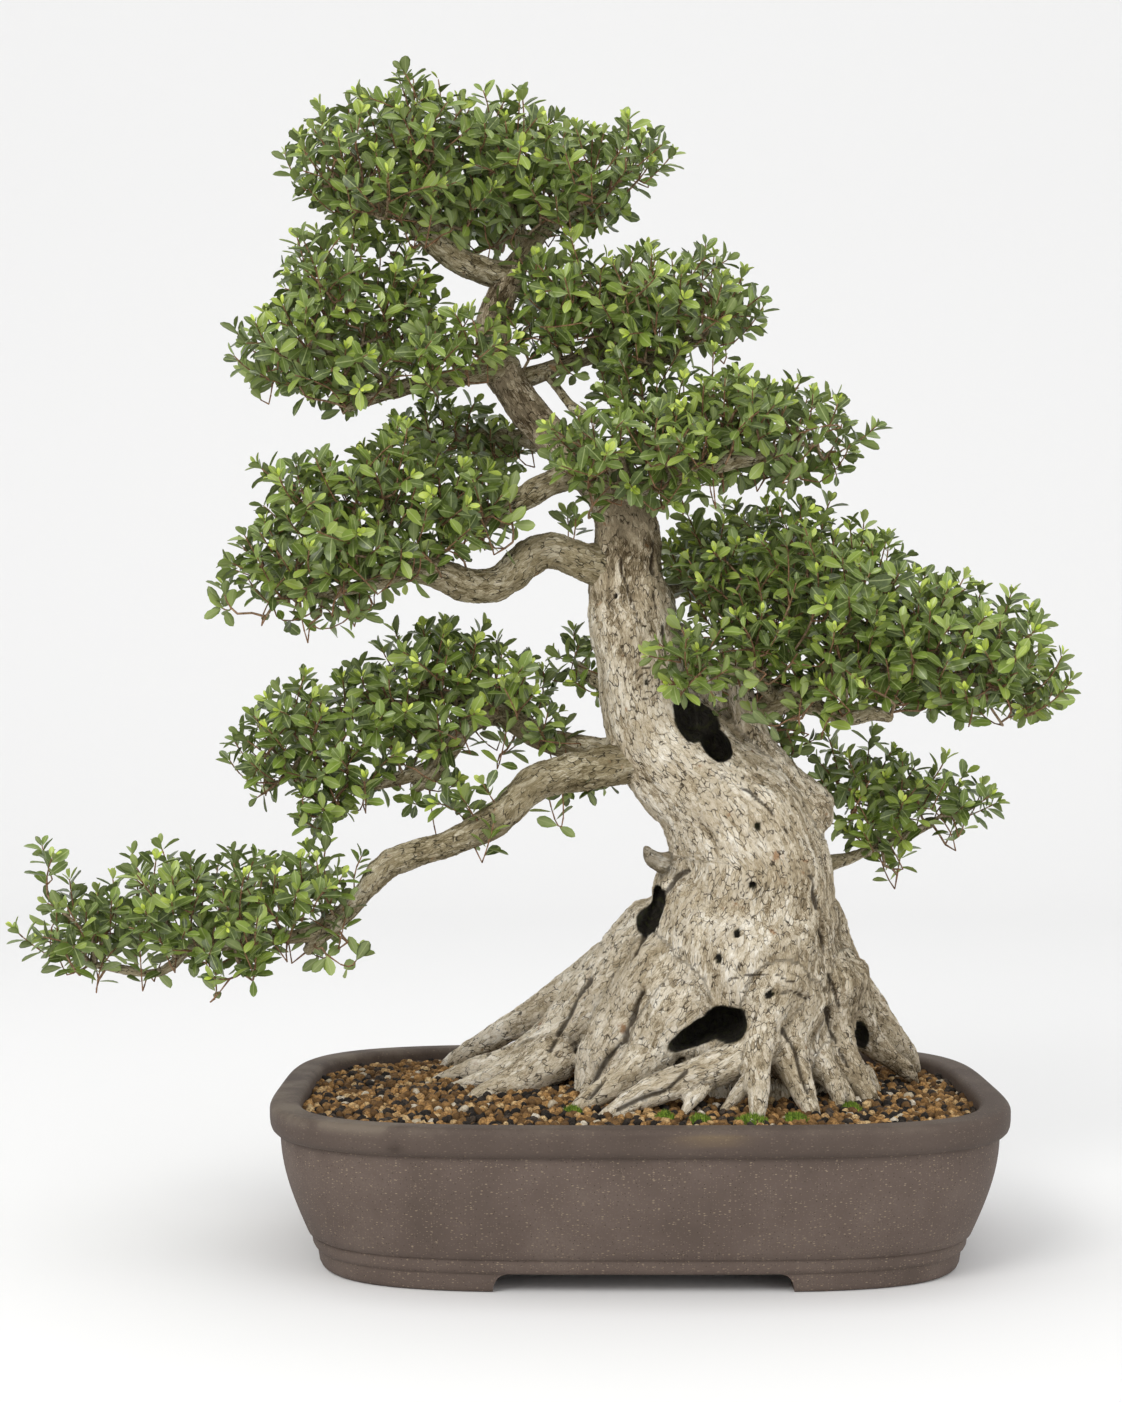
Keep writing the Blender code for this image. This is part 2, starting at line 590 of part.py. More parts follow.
def hole_cutter(place):
    """A round drain hole through the floor."""
    builder = bmesh.new()
    bmesh.ops.create_cone(builder, cap_ends=True, segments=20, radius1=HOLE_DIAMETER / 2,
                          radius2=HOLE_DIAMETER / 2, depth=4 * FLOOR)
    bmesh.ops.translate(builder, verts=builder.verts, vec=(place, 0, FLOOR_TOP - FLOOR / 2))
    return mesh_from(builder)


def pot_mesh():
    """The fired pot: one wall of clay with a rolled rim, a moulded band and four feet."""
    rings = [plan_ring(inset, height) for inset, height in outer_profile()]
    rings += [plan_ring(inset, height, INNER_SQUARENESS)
              for inset, height in rim_arc(RIM_WIDTH, -1)]
    rings += [plan_ring(inset, height, INNER_SQUARENESS)
              for inset, height in inner_profile(0, POT_HEIGHT - 2 * RIM_ROUND)]
    builder = bmesh.new()
    skin(builder, rings)
    holes = [hole_cutter(place) for place in hole_places()]
    return main_body(subtract(mesh_from(builder), *feet_cutters(), *holes))


# ---------------------------------------------------------------- drainage

def screen_mesh(place):
    """A square plastic screen with rows of openings, lying over a drain hole."""
    cells = 2 * SCREEN_OPENINGS + 1
    widths = [SCREEN_PITCH - SCREEN_BAR if cell % 2 else SCREEN_BAR for cell in range(cells)]
    edges = [sum(widths[:cell]) - sum(widths) / 2 for cell in range(cells + 1)]
    low = FLOOR_TOP + CLEARANCE
    builder = bmesh.new()
    grid = [[[builder.verts.new((place + east, north, height)) for north in edges]
             for east in edges] for height in (low, low + SCREEN_THICKNESS)]
    solid = {(i, j) for i in range(cells) for j in range(cells) if not (i % 2 and j % 2)}
    for i, j in solid:
        for layer in grid:
            builder.faces.new((layer[i][j], layer[i + 1][j], layer[i + 1][j + 1], layer[i][j + 1]))
        sides = [((i - 1, j), (i, j), (i, j + 1)), ((i + 1, j), (i + 1, j), (i + 1, j + 1)),
                 ((i, j - 1), (i, j), (i + 1, j)), ((i, j + 1), (i, j + 1), (i + 1, j + 1))]
        for beyond, (a, b), (c, d) in sides:
            if beyond not in solid:
                builder.faces.new((grid[0][a][b], grid[0][c][d], grid[1][c][d], grid[1][a][b]))
    loose = [corner for corner in builder.verts if not corner.link_faces]
    bmesh.ops.delete(builder, geom=loose, context='VERTS')
    return mesh_from(builder)


def clip_mesh(place):
    """A bent wire that holds a screen down: over it, through it and out under the floor."""
    radius = WIRE_DIAMETER / 2
    row = SCREEN_PITCH / 2
    above = FLOOR_TOP + SCREEN_THICKNESS + 2 * CLEARANCE + radius
    below = FOOT_HEIGHT + UNDERSIDE_RISE - CLEARANCE - radius
    half = [(WIRE_REACH, below), (row + WIRE_DIAMETER, below), (row, below + WIRE_DIAMETER),
            (row, above - WIRE_DIAMETER), (row - WIRE_DIAMETER, above)]
    route = half + [(-across, height) for across, height in half[::-1]]
    points = [(Vector((place + across, row, height)), radius) for across, height in route]
    builder = bmesh.new()
    skin(builder, tube_rings(points))
    return mesh_from(builder)


def drainage_pocket(place):
    """The space that the soil leaves over a screen and its clip."""
    half = SCREEN_OPENINGS * SCREEN_PITCH / 2 + SCREEN_BAR
    top = FLOOR_TOP + SCREEN_THICKNESS + WIRE_DIAMETER + 4 * CLEARANCE
    builder = bmesh.new()
    skin(builder, [[Vector((place + east * half, north * half, height))
                    for east, north in ((-1, -1), (1, -1), (1, 1), (-1, 1))]
                   for height in (0, top)])
    return mesh_from(builder)


# ---------------------------------------------------------------- soil

SOIL_EDGE = POT_HEIGHT - SOIL_BELOW_RIM
SOIL_TOP = SOIL_EDGE + SOIL_MOUND
SOIL_HALF_LENGTH = POT_LENGTH / 2 - inner_inset(SOIL_EDGE) - CLEARANCE
SOIL_HALF_DEPTH = POT_DEPTH / 2 - inner_inset(SOIL_EDGE) - CLEARANCE


def soil_mesh(trunk):
    """The soil: it fills the pot, is mounded to the middle and is pressed round the roots."""
    rings = [plan_ring(inset, height, INNER_SQUARENESS)
             for inset, height in inner_profile(CLEARANCE, SOIL_EDGE)[::-1]]
    edge = rings[-1]
    for share in (0.8, 0.6, 0.4, 0.2):
        rings.append([soil_point(point, share) for point in edge])
    builder = bmesh.new()
    skin(builder, rings)
    pockets = [drainage_pocket(place) for place in hole_places()]
    return cleared(subtract(mesh_from(builder), *pockets), [trunk])


def soil_point(edge_point, share):
    """A point on the soil's top, a share of the way from the middle to the pot's wall."""
    east = edge_point.x * share
    north = edge_point.y * share
    bump = SOIL_BUMP * noise.noise(Vector((east, north, 0)) / (30 * MM))
    return Vector((east, north, SOIL_EDGE + SOIL_MOUND * (1 - share ** 2) + bump))


# ---------------------------------------------------------------- tree

def place_point(x, y, z):
    """A route point in metres: roots spread with the soil, and the tree with its height."""
    share = max(0.0, min(1.0, z / ROOT_ZONE))
    share = share * share * (3 - 2 * share)
    unit = TREE_HEIGHT / TREE_UNITS
    root_x = SOIL_HALF_LENGTH / ROOT_UNITS_WIDE
    root_y = SOIL_HALF_DEPTH / ROOT_UNITS_DEEP
    east = x * (root_x + (unit - root_x) * share)
    north = y * (root_y + (unit - root_y) * share)
    up = z * (unit if z > 0 else MM)
    return Vector((SOIL_HALF_LENGTH * TREE_PLACE + east, north, SOIL_TOP + up))



def wood(routes, voxel, triangles):
    """Round limbs along smooth routes, fused into one piece of wood."""
    builder = bmesh.new()
    unit = TREE_HEIGHT / TREE_UNITS
    for route in routes:
        points = [(place_point(x, y, z), radius * unit)
                  for x, y, z, radius in smooth_route(route)]
        skin(builder, tube_rings(points))
    return fused(mesh_from(builder), voxel, triangles)


def lump(centre, half_sizes, lean=0.0, subdivisions=2):
    """A closed ellipsoid, given in tree units, leaning to the right by some degrees."""
    builder = bmesh.new()
    bmesh.ops.create_icosphere(builder, subdivisions=subdivisions, radius=1.0)
    turn = math.radians(lean)
    unit = TREE_HEIGHT / TREE_UNITS
    middle = place_point(*centre)
    for corner in builder.verts:
        wide, deep, high = (corner.co[axis] * half_sizes[axis] * unit for axis in range(3))
        corner.co = middle + Vector((wide * math.cos(turn) + high * math.sin(turn), deep,
                                     high * math.cos(turn) - wide * math.sin(turn)))
    return mesh_from(builder)


def trunk_mesh():
    """The trunk with its strands, its dead stub and its surface roots, hollowed where it rotted."""
    solid = wood([TRUNK, *STRANDS, *ROOTS, STUB], WOOD_VOXEL, TRUNK_TRIANGLES)
    return main_body(subtract(solid, *[lump(*hollow) for hollow in HOLLOWS]))


def branch_mesh(routes, neighbours):
    """A branch with its side shoots, cut to sit against the trunk and the branches before it."""
    points = sum(len(route) for route in routes)
    solid = wood(routes, BRANCH_VOXEL, BRANCH_TRIANGLES + BRANCH_TRIANGLES_PER_POINT * points)
    return cleared(solid, neighbours)


def foliage_mesh(lobes, neighbours):
    """A pad of leaves and twigs as one plain lumpy solid, cut clear of its neighbours."""
    builder = bmesh.new()
    for lobe in lobes:
        builder.from_mesh(lump(lobe[:3], lobe[3:]))
    whole = modified(mesh_from(builder), ("REMESH", {"mode": "VOXEL", "voxel_size": FOLIAGE_VOXEL}))
    for vertex in whole.vertices:
        shift = noise.noise(vertex.co / FOLIAGE_LUMP_SPACING)
        vertex.co += vertex.normal * (FOLIAGE_SWELL + FOLIAGE_LUMP * shift)
    triangles = FOLIAGE_TRIANGLES_BASE + FOLIAGE_TRIANGLES_PER_LOBE * len(lobes)
    ratio = triangles / (2 * len(whole.polygons))
    thinned = modified(whole, ("TRIANGULATE", {}),
                       ("DECIMATE", {"ratio": ratio, "use_collapse_triangulate": True}))
    return cleared(thinned, neighbours)


# ---------------------------------------------------------------- assembly

def add_pot(holder):
    """The pot with the screens and wire clips over its drain holes."""
    clay = material("unglazed_clay", (0.147, 0.102, 0.085), 0.85)
    plastic = material("black_plastic_screen", (0.03, 0.03, 0.03), 0.6)
    wire = material("aluminium_wire", (0.35, 0.26, 0.2), 0.4, 1.0)
    add_piece("pot", pot_mesh(), clay, holder)
    for side, place in zip(("left", "right"), hole_places()):
        add_piece("drain_screen_" + side, screen_mesh(place), plastic, holder)
        add_piece("screen_clip_" + side, clip_mesh(place), wire, holder)


def add_tree(holder):
    """The trunk, the soil round it, the branches and the pads of foliage."""
    bark = material("grey_bark", (0.34, 0.29, 0.22), 0.9)
    grains = material("soil_grains", (0.12, 0.06, 0.03), 0.95)
    leaves = material("leaves", (0.03, 0.1, 0.015), 0.45)
    trunk = trunk_mesh()
    add_piece("trunk", trunk, bark, holder)
    add_piece("soil", soil_mesh(trunk), grains, holder)
    placed = [trunk]
    for name, routes in BRANCHES.items():
        limb = branch_mesh(routes, placed)
        placed.append(limb)
        add_piece(name, limb, bark, holder)
    for name, lobes in FOLIAGE.items():
        pad = foliage_mesh(lobes, placed)
        placed.append(pad)
        add_piece(name, pad, leaves, holder)


def centre_on_origin(holder):
    """Move the holder so that the box of all the pieces is centred over the origin."""
    boxes = [box_of(piece.data) for piece in holder.children]
    for axis in (0, 1):
        low = min(box[0][axis] for box in boxes)
        high = max(box[1][axis] for box in boxes)
        holder.location[axis] = -(low + high) / 2


def main():
    """Build the whole object."""
    clear_scene()
    holder = bpy.data.objects.new("bonsai", None)
    bpy.context.collection.objects.link(holder)
    add_pot(holder)
    add_tree(holder)
    centre_on_origin(holder)
    bpy.context.view_layer.update()


main()
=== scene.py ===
# %% [markdown]
# # A bonsai tree in an unglazed clay pot
#
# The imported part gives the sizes: a pot, soil, trunk, branches and pads of foliage as plain solids.
# Here each of them is made again with the detail that the real one shows, in the same place.
# Everything is in metres, with +Z up, and the front of the tree looks along -Y.

import math

import bmesh
import bpy
import numpy as np
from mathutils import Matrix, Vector
from mathutils.bvhtree import BVHTree


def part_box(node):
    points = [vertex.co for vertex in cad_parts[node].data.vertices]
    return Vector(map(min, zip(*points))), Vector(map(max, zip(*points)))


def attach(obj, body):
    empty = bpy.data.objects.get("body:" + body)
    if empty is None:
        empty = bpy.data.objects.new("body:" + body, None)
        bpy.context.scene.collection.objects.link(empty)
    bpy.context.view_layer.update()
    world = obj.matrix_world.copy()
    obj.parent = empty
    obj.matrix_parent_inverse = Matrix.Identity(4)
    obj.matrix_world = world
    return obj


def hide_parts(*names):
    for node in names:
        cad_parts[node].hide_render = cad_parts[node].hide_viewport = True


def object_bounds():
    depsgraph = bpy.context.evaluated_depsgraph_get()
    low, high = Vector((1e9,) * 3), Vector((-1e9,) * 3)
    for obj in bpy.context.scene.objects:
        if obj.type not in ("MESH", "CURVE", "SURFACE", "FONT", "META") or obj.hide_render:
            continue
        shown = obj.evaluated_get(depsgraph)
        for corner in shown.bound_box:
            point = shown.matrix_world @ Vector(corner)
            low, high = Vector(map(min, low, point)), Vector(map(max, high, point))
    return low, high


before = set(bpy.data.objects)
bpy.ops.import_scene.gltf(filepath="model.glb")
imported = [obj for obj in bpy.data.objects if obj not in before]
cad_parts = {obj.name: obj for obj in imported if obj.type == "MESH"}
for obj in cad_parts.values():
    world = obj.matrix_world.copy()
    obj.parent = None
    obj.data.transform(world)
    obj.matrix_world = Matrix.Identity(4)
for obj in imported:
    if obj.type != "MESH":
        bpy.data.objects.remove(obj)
cad_low, cad_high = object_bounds()
MM = 0.001
box_low = np.array(cad_low)
box_high = np.array(cad_high)
print("CAD box in mm:", np.round((box_high - box_low) / MM, 1))

# %% [markdown]
# ## Helpers
#
# A mesh is built from whole arrays: points, then blocks of triangles or quads.
# A value given for each point becomes an attribute that a material can read.

# %% Colours and nodes
def linear(code):
    """An sRGB hex code such as '6b5a55' as linear red, green, blue and alpha."""
    shares = [int(code[place:place + 2], 16) / 255 for place in (0, 2, 4)]
    return tuple(s / 12.92 if s <= 0.04045 else ((s + 0.055) / 1.055) ** 2.4 for s in shares) + (1.0,)


def add_node(tree, kind, settings=None, links=None):
    """A node of a kind, with its properties and input values set and its inputs linked."""
    node = tree.nodes.new(kind)
    for name, value in (settings or {}).items():
        if isinstance(name, str) and hasattr(node, name):
            setattr(node, name, value)
        else:
            node.inputs[name].default_value = value
    for name, source in (links or {}).items():
        tree.links.new(source, node.inputs[name])
    return node


def new_material(name, **surface_values):
    """A material with its Principled surface, whose sockets take the given constant values."""
    material = bpy.data.materials.new(name)
    material.use_nodes = True
    surface = material.node_tree.nodes["Principled BSDF"]
    for socket, value in surface_values.items():
        surface.inputs[socket.replace("_", " ")].default_value = value
    return material, material.node_tree, surface


def ramp(tree, source, stops):
    """A colour ramp over a value: stops are (place, sRGB hex) pairs."""
    node = add_node(tree, "ShaderNodeValToRGB", links={"Fac": source})
    for _ in stops[2:]:
        node.color_ramp.elements.new(0.5)
    for element, (place, code) in zip(node.color_ramp.elements, stops):
        element.position = place
        element.color = linear(code)
    return node.outputs["Color"]


def blended(tree, share, first, second):
    """The first colour blended towards the second by a share, which is a number or a socket."""
    node = add_node(tree, "ShaderNodeMix", {"data_type": "RGBA"})
    for place, value in ((0, share), (6, first), (7, second)):
        if isinstance(value, bpy.types.NodeSocket):
            tree.links.new(value, node.inputs[place])
        else:
            node.inputs[place].default_value = value
    return node.outputs[2]


def span(tree, source, low, high, to_low=0.0, to_high=1.0):
    """A value mapped from one range to another, smoothly and clamped."""
    node = add_node(tree, "ShaderNodeMapRange", {
        "interpolation_type": "SMOOTHSTEP", "From Min": low, "From Max": high,
        "To Min": to_low, "To Max": to_high}, {"Value": source})
    return node.outputs["Result"]


def roughened(tree, surface, height, strength, distance):
    """Lets a height value tilt the surface, as fine relief does, over a distance in metres."""
    bump = add_node(tree, "ShaderNodeBump", {"Strength": strength, "Distance": distance},
                    {"Height": height})
    tree.links.new(bump.outputs["Normal"], surface.inputs["Normal"])


def worked(tree, operation, first, second):
    """The outcome of an arithmetic node on two values, each a number or a socket."""
    pair = dict(enumerate((first, second)))
    linked = {place: value for place, value in pair.items() if isinstance(value, bpy.types.NodeSocket)}
    fixed = {place: value for place, value in pair.items() if place not in linked}
    return add_node(tree, "ShaderNodeMath", {"operation": operation, **fixed}, linked).outputs[0]


# %% Meshes from arrays
def put_mesh(name, points, blocks, material, values=None):
    """A mesh object from points (n, 3), blocks of faces (m, k) and one value or vector per point."""
    mesh = bpy.data.meshes.new(name)
    corners = np.concatenate([block.ravel() for block in blocks]).astype(np.int32)
    sizes = np.concatenate([np.full(len(block), block.shape[1]) for block in blocks])
    starts = np.concatenate([[0], np.cumsum(sizes)[:-1]]).astype(np.int32)
    mesh.vertices.add(len(points))
    mesh.vertices.foreach_set("co", np.asarray(points, np.float32).ravel())
    mesh.loops.add(len(corners))
    mesh.loops.foreach_set("vertex_index", corners)
    mesh.polygons.add(len(starts))
    mesh.polygons.foreach_set("loop_start", starts)
    mesh.polygons.foreach_set("use_smooth", np.ones(len(starts), bool))
    mesh.update(calc_edges=True)
    for key, value in (values or {}).items():
        value = np.asarray(value, np.float32)
        kind, field = ("FLOAT", "value") if value.ndim == 1 else ("FLOAT_VECTOR", "vector")
        mesh.attributes.new(key, kind, "POINT").data.foreach_set(field, value.ravel())
    mesh.materials.append(material)
    piece = bpy.data.objects.new(name, mesh)
    bpy.context.collection.objects.link(piece)
    return piece


def place_piece(piece, slot, *nodes):
    """The piece rides on the tree's one body and stands for CAD nodes; the slot is not used."""
    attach(piece, "root")
    if nodes:
        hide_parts(*nodes)
    print(piece.name, len(piece.data.polygons), "faces")


def mesh_arrays(mesh):
    """The points (n, 3) and the triangles (m, 3) of a mesh."""
    points = np.empty(len(mesh.vertices) * 3)
    mesh.vertices.foreach_get("co", points)
    mesh.calc_loop_triangles()
    triangles = np.empty(len(mesh.loop_triangles) * 3, np.int64)
    mesh.loop_triangles.foreach_get("vertices", triangles)
    return points.reshape(-1, 3), triangles.reshape(-1, 3)


def node_arrays(node):
    """A CAD node's points and triangles, with the points that coincide made one."""
    points, triangles = mesh_arrays(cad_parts[node].data)
    _, first, whole = np.unique(np.round(points / 1e-6), axis=0, return_index=True, return_inverse=True)
    return points[first], whole.ravel()[triangles]


def modified(points, blocks, *settings):
    """Points and faces run through modifiers, each given as (type, {property: value})."""
    carrier = put_mesh("carrier", points, blocks, None)
    for kind, properties in settings:
        modifier = carrier.modifiers.new(kind.title(), kind)
        for key, value in properties.items():
            setattr(modifier, key, value)
    evaluated = carrier.evaluated_get(bpy.context.evaluated_depsgraph_get())
    mesh = bpy.data.meshes.new_from_object(evaluated)
    bpy.data.objects.remove(carrier, do_unlink=True)
    return mesh


# %% Vectors and noise
def unit(vectors):
    """Vectors (n, 3) made one long."""
    return vectors / np.maximum(np.linalg.norm(vectors, axis=-1, keepdims=True), 1e-12)


def smoothstep(low, high, value):
    """0 below low, 1 above high, and a smooth rise between them."""
    share = np.clip((value - low) / (high - low), 0, 1)
    return share * share * (3 - 2 * share)


def hashed(cells, seed):
    """A number from 0 to 1 for each whole-number cell (n, 3), always the same for that cell."""
    mixed = cells.astype(np.int64) @ np.array([73856093, 19349663, 83492791]) + seed * 2654435
    mixed = (mixed ^ (mixed >> 13)) * 1274126177 & 0xFFFFFFFF
    mixed = (mixed ^ (mixed >> 16)) * 2246822519 & 0xFFFFFFFF
    return ((mixed ^ (mixed >> 13)) & 0xFFFFFF) / 0xFFFFFF


def value_noise(places, seed):
    """Smooth noise from 0 to 1: numbers on a lattice of unit cells, blended between its corners."""
    cell = np.floor(places)
    share = places - cell
    share = share * share * (3 - 2 * share)
    total = 0
    for corner in range(8):
        step = np.array([corner & 1, corner >> 1 & 1, corner >> 2])
        weight = np.prod(np.where(step, share, 1 - share), axis=1)
        total = total + weight * hashed(cell + step, seed)
    return total


def plates(places, seed):
    """Cracked plates: the gap between the two nearest of the scattered cell points, and a plate number."""
    cell = np.floor(places)
    nearest = np.full(len(places), 9.0)
    second = np.full(len(places), 9.0)
    owner = np.zeros(len(places))
    for step in np.ndindex(3, 3, 3):
        other = cell + np.array(step) - 1
        centre = other + np.stack([hashed(other, seed + k) for k in range(3)], axis=1)
        distance = np.linalg.norm(centre - places, axis=1)
        closer = distance < nearest
        second = np.where(closer, nearest, np.minimum(second, distance))
        owner = np.where(closer, hashed(other, seed + 7), owner)
        nearest = np.where(closer, distance, nearest)
    return second - nearest, owner


# %% [markdown]
# ## The pot
#
# The real pot is pressed into a mould from dark stoneware clay and fired without a glaze.
# Its plan is between an oval and a rectangle, which a superellipse draws with one number.
# A profile of insets and heights is carried round that plan, and the feet and drain holes are cut.

# %% The pot's profile
pot_low, pot_high = (np.array(corner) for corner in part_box("pot"))
pot_middle = (pot_low + pot_high) / 2
POT_SIDES = 256
OUTER_SQUARENESS = 3.9
INNER_SQUARENESS = 4.1
WALL = 11.5
RIM_WIDTH = 18
RIM_ROUND = 4
LIP_OVERHANG = 6
BODY_TAPER = 16
LIP_BOTTOM = 79
BODY_BOTTOM = 19
RIM_TOP = 96
FOOT_TOP = 11
FLOOR_TOP = 22.5
BAND_INSET = 24
FOOT_INSET = 27.5


def body_inset(height):
    """How far the body stands in from the lip: a quarter sine that swells towards the top."""
    share = np.clip((height - BODY_BOTTOM) / (LIP_BOTTOM - BODY_BOTTOM), 0, 1)
    return LIP_OVERHANG + BODY_TAPER * (1 - np.sin(share * np.pi / 2))


def rim_arc(inset, direction):
    """A quarter circle that rounds the rim's outer or inner edge."""
    angle = np.linspace(0, np.pi / 2, 7)
    if direction < 0:
        angle = angle[::-1]
    across = inset + direction * RIM_ROUND * (1 - np.cos(angle))
    return np.stack([across, RIM_TOP - RIM_ROUND * (1 - np.sin(angle))], axis=1)


band = 8
outer_rows = np.array([
    (FOOT_INSET + 4, 0), (FOOT_INSET + 2.6, 0.3), (FOOT_INSET + 1.4, 1.2), (FOOT_INSET + 0.5, 3.2),
    (FOOT_INSET, 6.5), (FOOT_INSET - 0.6, FOOT_TOP - 0.4), (BAND_INSET + 1.8, FOOT_TOP + 0.4),
    (BAND_INSET + 0.9, FOOT_TOP + 0.18 * band), (BAND_INSET + 0.2, FOOT_TOP + 0.36 * band),
    (BAND_INSET, FOOT_TOP + 0.55 * band), (BAND_INSET - 0.2, FOOT_TOP + 0.75 * band),
    (BAND_INSET - 0.3, FOOT_TOP + 0.9 * band), (BAND_INSET + 0.1, BODY_BOTTOM)])
body_heights = BODY_BOTTOM + (LIP_BOTTOM - BODY_BOTTOM) * np.linspace(0.03, 1, 16)
body_rows = np.stack([body_inset(body_heights), body_heights], axis=1)
lip_rows = np.array([(4.4, 79.4), (2.7, 80.2), (1.2, 81.8), (0.4, 84), (0.05, 87)])
inner_heights = np.array([88, 80, 70, 60, 52, 44, 36, 31, 28])
inner_rows = np.stack([np.maximum(RIM_WIDTH, body_inset(inner_heights) + WALL), inner_heights], axis=1)
floor_rows = np.array([(inner_rows[-1, 0] + 2.5, 24.6), (inner_rows[-1, 0] + 7, 22.9),
                       (inner_rows[-1, 0] + 14, FLOOR_TOP)])
outside = np.concatenate([outer_rows, body_rows, lip_rows, rim_arc(0, 1)])
inside = np.concatenate([rim_arc(RIM_WIDTH, -1), inner_rows, floor_rows])
print("pot profile rows:", len(outside) + len(inside))

# %% The pot's skin
def plan_rings(rows, squareness):
    """Superellipse rings: x = a sgn(cos)|cos|^(2/n), y = b sgn(sin)|sin|^(2/n), drawn in by each inset."""
    angle = np.linspace(0, 2 * np.pi, POT_SIDES, endpoint=False)
    bend = 2 / squareness
    unit_x = np.sign(np.cos(angle)) * np.abs(np.cos(angle)) ** bend
    unit_y = np.sign(np.sin(angle)) * np.abs(np.sin(angle)) ** bend
    half = (pot_high - pot_low)[:2] / 2
    inset, height = rows[:, :1] * MM, rows[:, 1:] * MM
    x = pot_middle[0] + (half[0] - inset) * unit_x
    y = pot_middle[1] + (half[1] - inset) * unit_y
    return np.stack([x, y, np.broadcast_to(height, x.shape)], axis=2)


def closed_skin(rings):
    """Rings (r, s, 3) joined by quads, with the first and last ring closed by a fan to its middle."""
    count, sides = rings.shape[:2]
    index = np.arange(count * sides).reshape(count, sides)
    turned = np.roll(index, -1, axis=1)
    quads = np.stack([index[:-1], turned[:-1], turned[1:], index[1:]], axis=-1).reshape(-1, 4)
    low, high = count * sides, count * sides + 1
    fans = np.concatenate([
        np.stack([turned[0], index[0], np.full(sides, low)], axis=1),
        np.stack([index[-1], turned[-1], np.full(sides, high)], axis=1)])
    points = np.concatenate([rings.reshape(-1, 3), rings[:1].mean(1), rings[-1:].mean(1)])
    return points, [quads, fans]


pot_rings = np.concatenate([plan_rings(outside, OUTER_SQUARENESS), plan_rings(inside, INNER_SQUARENESS)])
pot_points, pot_blocks = closed_skin(pot_rings)
print("pot points:", len(pot_points))

# %% [markdown]
# The feet are what is left after three cuts: a shallow recess under the whole floor and a gap
# through the foot ring along each side. Two round drain holes go through the floor.

# %% Cut the feet and the drain holes
FRONT_GAP = 168
SIDE_GAP = 120
GAP_CURVE = 8
RECESS_INSET = FOOT_INSET + 24
RECESS_TOP = 12.5
HOLE_RADIUS = 13.5
HOLE_PLACE = 95


def gap_cutter(width, along_x):
    """A prism through the foot ring whose ends curve in towards its top."""
    rise = np.linspace(0, 1, 9)
    side = width / 2 - GAP_CURVE * (1 - np.sqrt(1 - rise ** 2))
    outline = np.concatenate([np.stack([side, rise * FOOT_TOP], axis=1),
                              np.stack([-side[::-1], rise[::-1] * FOOT_TOP], axis=1),
                              [(-width / 2, -5), (width / 2, -5)]]) * MM
    ends = []
    for reach in (-0.3, 0.3):
        flat = np.full(len(outline), reach)
        columns = (flat, outline[:, 0]) if along_x else (outline[:, 0], flat)
        ends.append(np.stack([columns[0] + pot_middle[0], columns[1], outline[:, 1]], axis=1))
    return closed_skin(np.stack(ends))


def round_cutter(x):
    """A cylinder through the floor."""
    angle = np.linspace(0, 2 * np.pi, 64, endpoint=False)
    ring = np.stack([pot_middle[0] + x * MM + HOLE_RADIUS * MM * np.cos(angle),
                     HOLE_RADIUS * MM * np.sin(angle), np.zeros(64)], axis=1)
    return closed_skin(np.stack([ring, ring + (0, 0, 0.04)]))


recess = closed_skin(plan_rings(np.array([(RECESS_INSET, -5), (RECESS_INSET, RECESS_TOP)]),
                                OUTER_SQUARENESS))
cutters = [recess, gap_cutter(FRONT_GAP, False), gap_cutter(SIDE_GAP, True),
           round_cutter(-HOLE_PLACE), round_cutter(HOLE_PLACE)]


def outward(piece):
    """Turn all the faces of a closed mesh so that they point out."""
    builder = bmesh.new()
    builder.from_mesh(piece.data)
    bmesh.ops.recalc_face_normals(builder, faces=builder.faces)
    builder.to_mesh(piece.data)
    builder.free()


def carved(points, blocks, cutter_list, solver="EXACT"):
    """Points and faces with closed cutters taken away, one after another."""
    body = put_mesh("body", points, blocks, None)
    outward(body)
    tools = []
    for place, (tool_points, tool_blocks) in enumerate(cutter_list):
        tool = put_mesh(f"tool_{place}", tool_points, tool_blocks, None)
        outward(tool)
        modifier = body.modifiers.new(f"cut_{place}", "BOOLEAN")
        modifier.operation = "DIFFERENCE"
        modifier.solver = solver
        modifier.object = tool
        tools.append(tool)
    mesh = bpy.data.meshes.new_from_object(body.evaluated_get(bpy.context.evaluated_depsgraph_get()))
    for piece in (body, *tools):
        bpy.data.objects.remove(piece, do_unlink=True)
    return mesh


# %% [markdown]
# ### Unglazed stoneware
#
# The clay has grog in it: crushed fired clay that shows as small pale flecks, drawn out sideways
# where the wall was wiped. Firing leaves slow changes of tone, and water and handling have worn
# the rim paler. There is no glaze, so the surface is rough and only softly lit.

